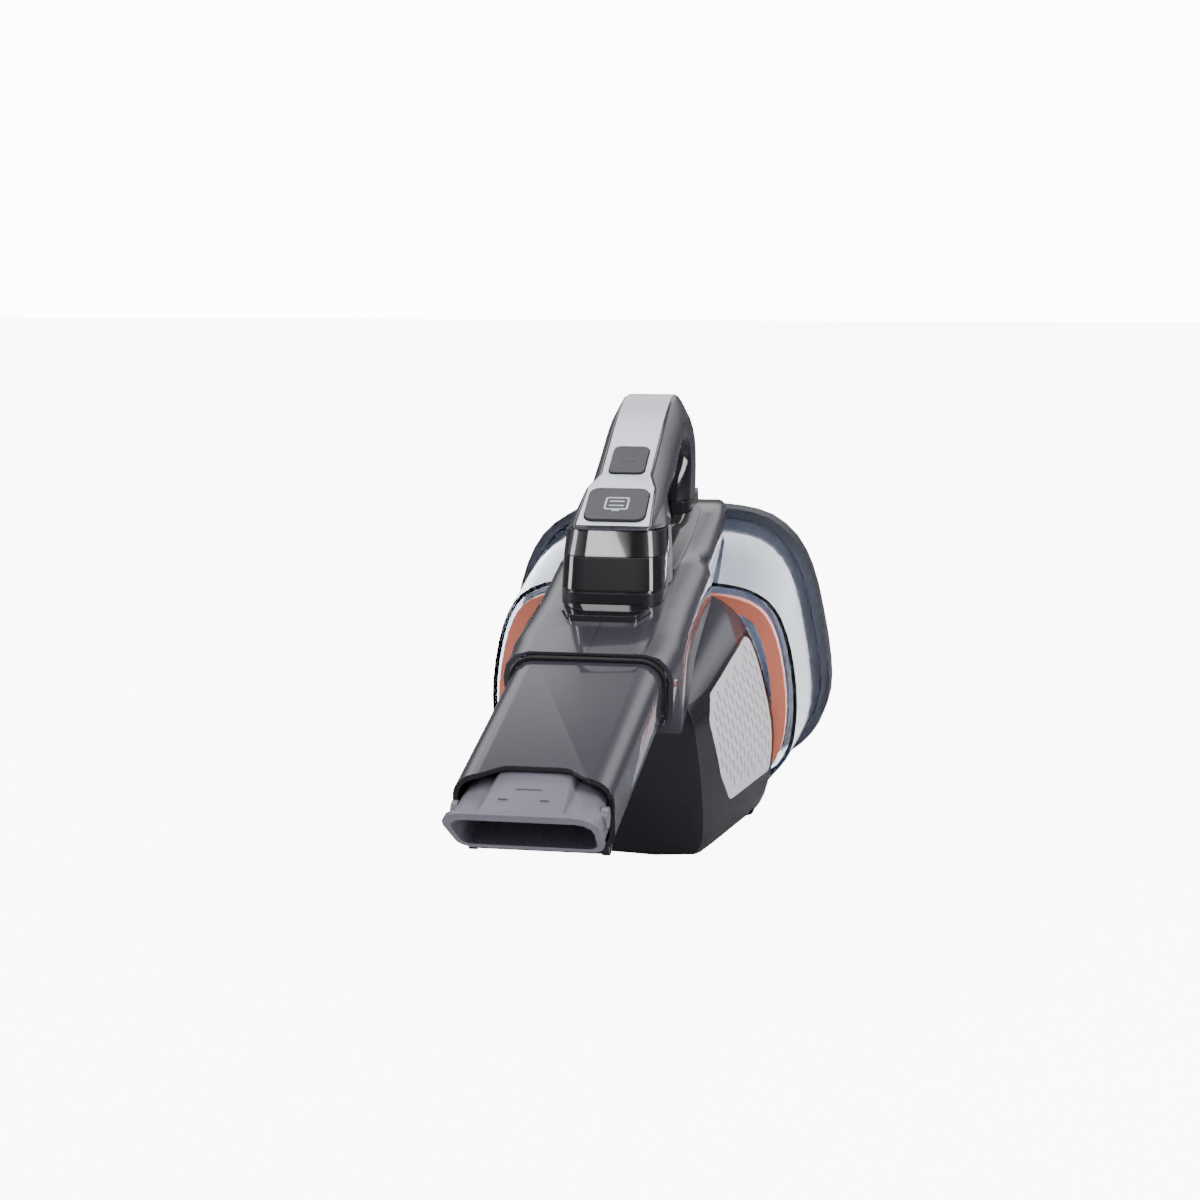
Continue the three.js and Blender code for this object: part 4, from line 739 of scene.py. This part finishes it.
def bristle_tree():
    """Scatters tapering hairs over rows of tuft points, each leaning a little its own way."""
    name = "Brush bristles"
    if name in bpy.data.node_groups:
        return bpy.data.node_groups[name]
    tree, given, out = new_group(name, "GeometryNodeTree", [
        ("Geometry", "INPUT", "Geometry", None),
        ("Hairs", "OUTPUT", "Geometry", None),
        ("Per tuft", "INPUT", "Int", 20),
        ("Length", "INPUT", "Float", 0.01),
        ("Spread", "INPUT", "Float", 0.001),
        ("Turn", "INPUT", "Vector", None),
        ("Finish", "INPUT", "Material", None),
    ])
    g = given.outputs
    many = place(tree, "GeometryNodeDuplicateElements", {
        "Geometry": g["Geometry"], "Amount": g["Per tuft"]}, domain="POINT")
    reach = place(tree, "ShaderNodeVectorMath", [(1.0, 1.0, 1.0)], operation="SCALE")
    link(tree, g["Spread"], reach.inputs["Scale"])
    back = place(tree, "ShaderNodeVectorMath", [(-1.0, -1.0, -1.0)], operation="SCALE")
    link(tree, g["Spread"], back.inputs["Scale"])
    shift = place(tree, "FunctionNodeRandomValue", data_type="FLOAT_VECTOR")
    link(tree, back.outputs[0], shift.inputs["Min"])
    link(tree, reach.outputs[0], shift.inputs["Max"])
    shift.inputs["Seed"].default_value = 11
    moved = place(tree, "GeometryNodeSetPosition", {
        "Geometry": many.outputs[0], "Offset": shift.outputs[0]})
    hair = place(tree, "GeometryNodeMeshCone", {
        "Vertices": 5, "Radius Top": 0.05 * MM, "Radius Bottom": 0.13 * MM, "Depth": 1.0,
    }, fill_type="NGON")
    tilt = place(tree, "FunctionNodeRandomValue", data_type="FLOAT_VECTOR")
    tilt.inputs["Min"].default_value = (-0.06, -0.07, 0)
    tilt.inputs["Max"].default_value = (0.06, 0.07, 3.1)
    tilt.inputs["Seed"].default_value = 5
    lean = place(tree, "FunctionNodeEulerToRotation", [tilt.outputs[0]]).outputs[0]
    turn = place(tree, "FunctionNodeEulerToRotation", [g["Turn"]]).outputs[0]
    both = place(tree, "FunctionNodeRotateRotation", [turn, lean], rotation_space="LOCAL").outputs[0]
    stretch = place(tree, "ShaderNodeCombineXYZ", [1.0, 1.0, g["Length"]])
    hairs = place(tree, "GeometryNodeInstanceOnPoints", {
        "Points": moved.outputs[0], "Instance": hair.outputs[0], "Rotation": both,
        "Scale": stretch.outputs[0],
    })
    solid = place(tree, "GeometryNodeRealizeInstances", {"Geometry": hairs.outputs[0]})
    dark = place(tree, "GeometryNodeSetMaterial", {
        "Geometry": solid.outputs[0], "Material": g["Finish"]})
    link(tree, dark.outputs[0], out.inputs["Hairs"])
    return tree


class VACUUM_OT_bristles(bpy.types.Operator):
    """Replace the brush's comb with tufts of separate bristles"""

    bl_idname = "vacuum.bristles"
    bl_label = "Brush bristles"

    def execute(self, context):
        sizes = context.scene.vacuum_details
        points = node_points("brush_bristles")
        along = points @ np.array(FORWARD)
        level = points @ np.array(NOZZLE_UP)
        root, end = float(along.max()), float(along.min())
        middle = float((level.max() + level.min()) / 2)
        thick = float(level.max() - level.min())
        half = float(points[:, 0].max())
        seeds = bpy.data.meshes.new("tuft_points")
        places = [
            FORWARD * (root - 1.0 * MM) + NOZZLE_UP * (middle + lift * thick * 0.28)
            + Vector((((i + 0.5) / TUFTS * 2 - 1) * half, 0, 0))
            for i in range(TUFTS) for lift in (-1, 1)
        ]
        seeds.from_pydata([tuple(p) for p in places], [], [])
        away = (-FORWARD).to_track_quat("Z", "X").to_euler()
        mesh = grow("brush_hairs", seeds, bristle_tree(), {
            "Per tuft": sizes.bristles, "Length": (root - end) - 1.6 * MM,
            "Spread": 0.45 * MM, "Turn": tuple(away), "Finish": finishes()["rubber"],
        })
        if len(mesh.polygons) < 1000:
            raise RuntimeError("the bristles did not grow")
        # the strip that holds the hairs, let into the brush bar

        def to_place(x, y, z):
            return FORWARD * (root - y) + NOZZLE_UP * (middle + z) + Vector((x, 0, 0))

        strip = plates("brush_root", [(rounded_box(half, 1.6 * MM, 0.4 * MM, 2, (0, 1.7 * MM)), None)],
                       to_place, thick / 2, -thick / 2)
        whole = bmesh.new()
        whole.from_mesh(mesh)
        whole.from_mesh(strip)
        whole.to_mesh(mesh)
        whole.free()
        piece("brush_hairs", mesh, "brush", "rubber", replaces=("brush_bristles",))
        return {"FINISHED"}


def seen_directly(tree):
    """One for rays from the camera, straight or through the clear bowl, and nought for the rest."""
    path = place(tree, "ShaderNodeLightPath").outputs
    return maths(tree, "MAXIMUM", path["Is Camera Ray"], path["Is Transmission Ray"])


def studio_floor():
    """Pale paper: it glows a little to the camera and is dim in reflections."""
    material = bpy.data.materials.new("Studio floor")
    material.use_nodes = True
    tree = material.node_tree
    shader = tree.nodes["Principled BSDF"]
    glossy = place(tree, "ShaderNodeLightPath").outputs["Is Glossy Ray"]
    tone = place(tree, "ShaderNodeMix", data_type="RGBA")
    link(tree, glossy, tone.inputs[0])
    tone.inputs[6].default_value = (0.90, 0.90, 0.905, 1)
    tone.inputs[7].default_value = (0.16, 0.16, 0.17, 1)
    link(tree, tone.outputs[2], shader.inputs["Base Color"])
    shader.inputs["Roughness"].default_value = 0.7
    shader.inputs["Specular IOR Level"].default_value = 0.1
    shader.inputs["Emission Color"].default_value = (1, 1, 1, 1)
    link(tree, maths(tree, "MULTIPLY", seen_directly(tree), FLOOR_GLOW),
         shader.inputs["Emission Strength"])
    return material


def studio_world():
    """A white surround to the camera, and a dimmer one to the surfaces that reflect it."""
    world = bpy.data.worlds.new("Studio")
    world.use_nodes = True
    tree = world.node_tree
    back = tree.nodes["Background"]
    way = place(tree, "ShaderNodeTexCoord").outputs["Generated"]
    height = place(tree, "ShaderNodeSeparateXYZ", [way]).outputs["Z"]
    rise = place(tree, "ShaderNodeMapRange", {
        "Value": height, "From Min": 0.12, "From Max": 0.42}, interpolation_type="SMOOTHSTEP")
    fall = place(tree, "ShaderNodeMapRange", {
        "Value": height, "From Min": 0.50, "From Max": 0.64, "To Min": 1.0, "To Max": 0.0,
    }, interpolation_type="SMOOTHSTEP")
    band = maths(tree, "MULTIPLY", rise.outputs[0], fall.outputs[0])
    lit = maths(tree, "MULTIPLY_ADD", band, SKY_BAND, SKY_LIGHT)
    strength = maths(tree, "MAXIMUM", lit, maths(tree, "MULTIPLY", seen_directly(tree), SKY_SEEN))
    link(tree, strength, back.inputs["Strength"])
    back.inputs["Color"].default_value = (0.97, 0.98, 1.0, 1)
    return world


class VACUUM_OT_stage(bpy.types.Operator):
    """Set up the pale floor, the soft lights and the camera"""

    bl_idname = "vacuum.stage"
    bl_label = "Stage"

    def execute(self, context):
        scene = context.scene
        wanted = scene.vacuum_stage
        low, high = CAD_BOX
        mesh = bpy.data.meshes.new("floor")
        corners = [(-1, -1), (1, -1), (1, 1), (-1, 1)]
        spots = [(x * FLOOR_HALF, y * FLOOR_HALF, low.z) for x, y in corners]
        mesh.from_pydata(spots, [], [(0, 1, 2, 3)])
        floor = bpy.data.objects.new("floor", mesh)
        scene.collection.objects.link(floor)
        mesh.materials.append(studio_floor())
        scene.world = studio_world()
        centre = (low + high) / 2
        lights = (
            ("overhead", (0.0, 0.25, 1.5), (1.5, 1.2), 17.0),
            ("left window", (-1.5, -0.2, 0.8), (0.5, 1.3), 15.0),
            ("right window", (1.3, -0.35, 0.7), (0.35, 1.3), 14.0),
            ("front strip", (-0.5, -1.7, 1.5), (1.0, 0.25), 9.0),
        )
        for name, spot, size, power in lights:
            data = bpy.data.lights.new(name, "AREA")
            data.shape = "RECTANGLE"
            data.size, data.size_y = size
            data.energy = power
            lamp = bpy.data.objects.new(name, data)
            lamp.location = spot
            lamp.rotation_euler = (centre - Vector(spot)).to_track_quat("-Z", "Y").to_euler()
            scene.collection.objects.link(lamp)
        camera_data = bpy.data.cameras.new("camera")
        camera_data.sensor_width = 36
        camera_data.lens = wanted.lens
        camera = bpy.data.objects.new("camera", camera_data)
        camera.location = CAMERA_AT
        camera.rotation_euler = (math.radians(90) - wanted.elevation, 0, wanted.azimuth)
        scene.collection.objects.link(camera)
        scene.camera = camera
        return {"FINISHED"}


STEPS = (
    VACUUM_OT_finish_frame,
    VACUUM_OT_handle_gap_shade,
    VACUUM_OT_duct_gap_shade,
    VACUUM_OT_tip_marks,
    VACUUM_OT_filter_gauze,
    VACUUM_OT_dial_ridges,
    VACUUM_OT_key_marks,
    VACUUM_OT_bristles,
    VACUUM_OT_stage,
)


class VACUUM_PT_panel(bpy.types.Panel):
    """Sidebar panel that lists the steps and their settings"""

    bl_idname = "VACUUM_PT_panel"
    bl_label = "Hand vacuum"
    bl_space_type = "VIEW_3D"
    bl_region_type = "UI"
    bl_category = "Hand vacuum"

    def draw(self, context):
        for step in STEPS:
            self.layout.operator(step.bl_idname)
        for key in GROUPS:
            group = getattr(context.scene, key)
            box = self.layout.box()
            for name in group.__annotations__:
                box.prop(group, name)


GROUPS = {
    "vacuum_colours": VacuumColours,
    "vacuum_details": VacuumDetails,
    "vacuum_stage": VacuumStage,
}


def register():
    for cls in (*GROUPS.values(), *STEPS, VACUUM_PT_panel):
        bpy.utils.register_class(cls)
    for name, group in GROUPS.items():
        setattr(bpy.types.Scene, name, PointerProperty(type=group))


def unregister():
    for name in GROUPS:
        delattr(bpy.types.Scene, name)
    for cls in reversed((*GROUPS.values(), *STEPS, VACUUM_PT_panel)):
        bpy.utils.unregister_class(cls)


def main():
    register()
    for step in STEPS:
        group, action = step.bl_idname.split(".")
        getattr(getattr(bpy.ops, group), action)()


if __name__ == "__main__":
    main()
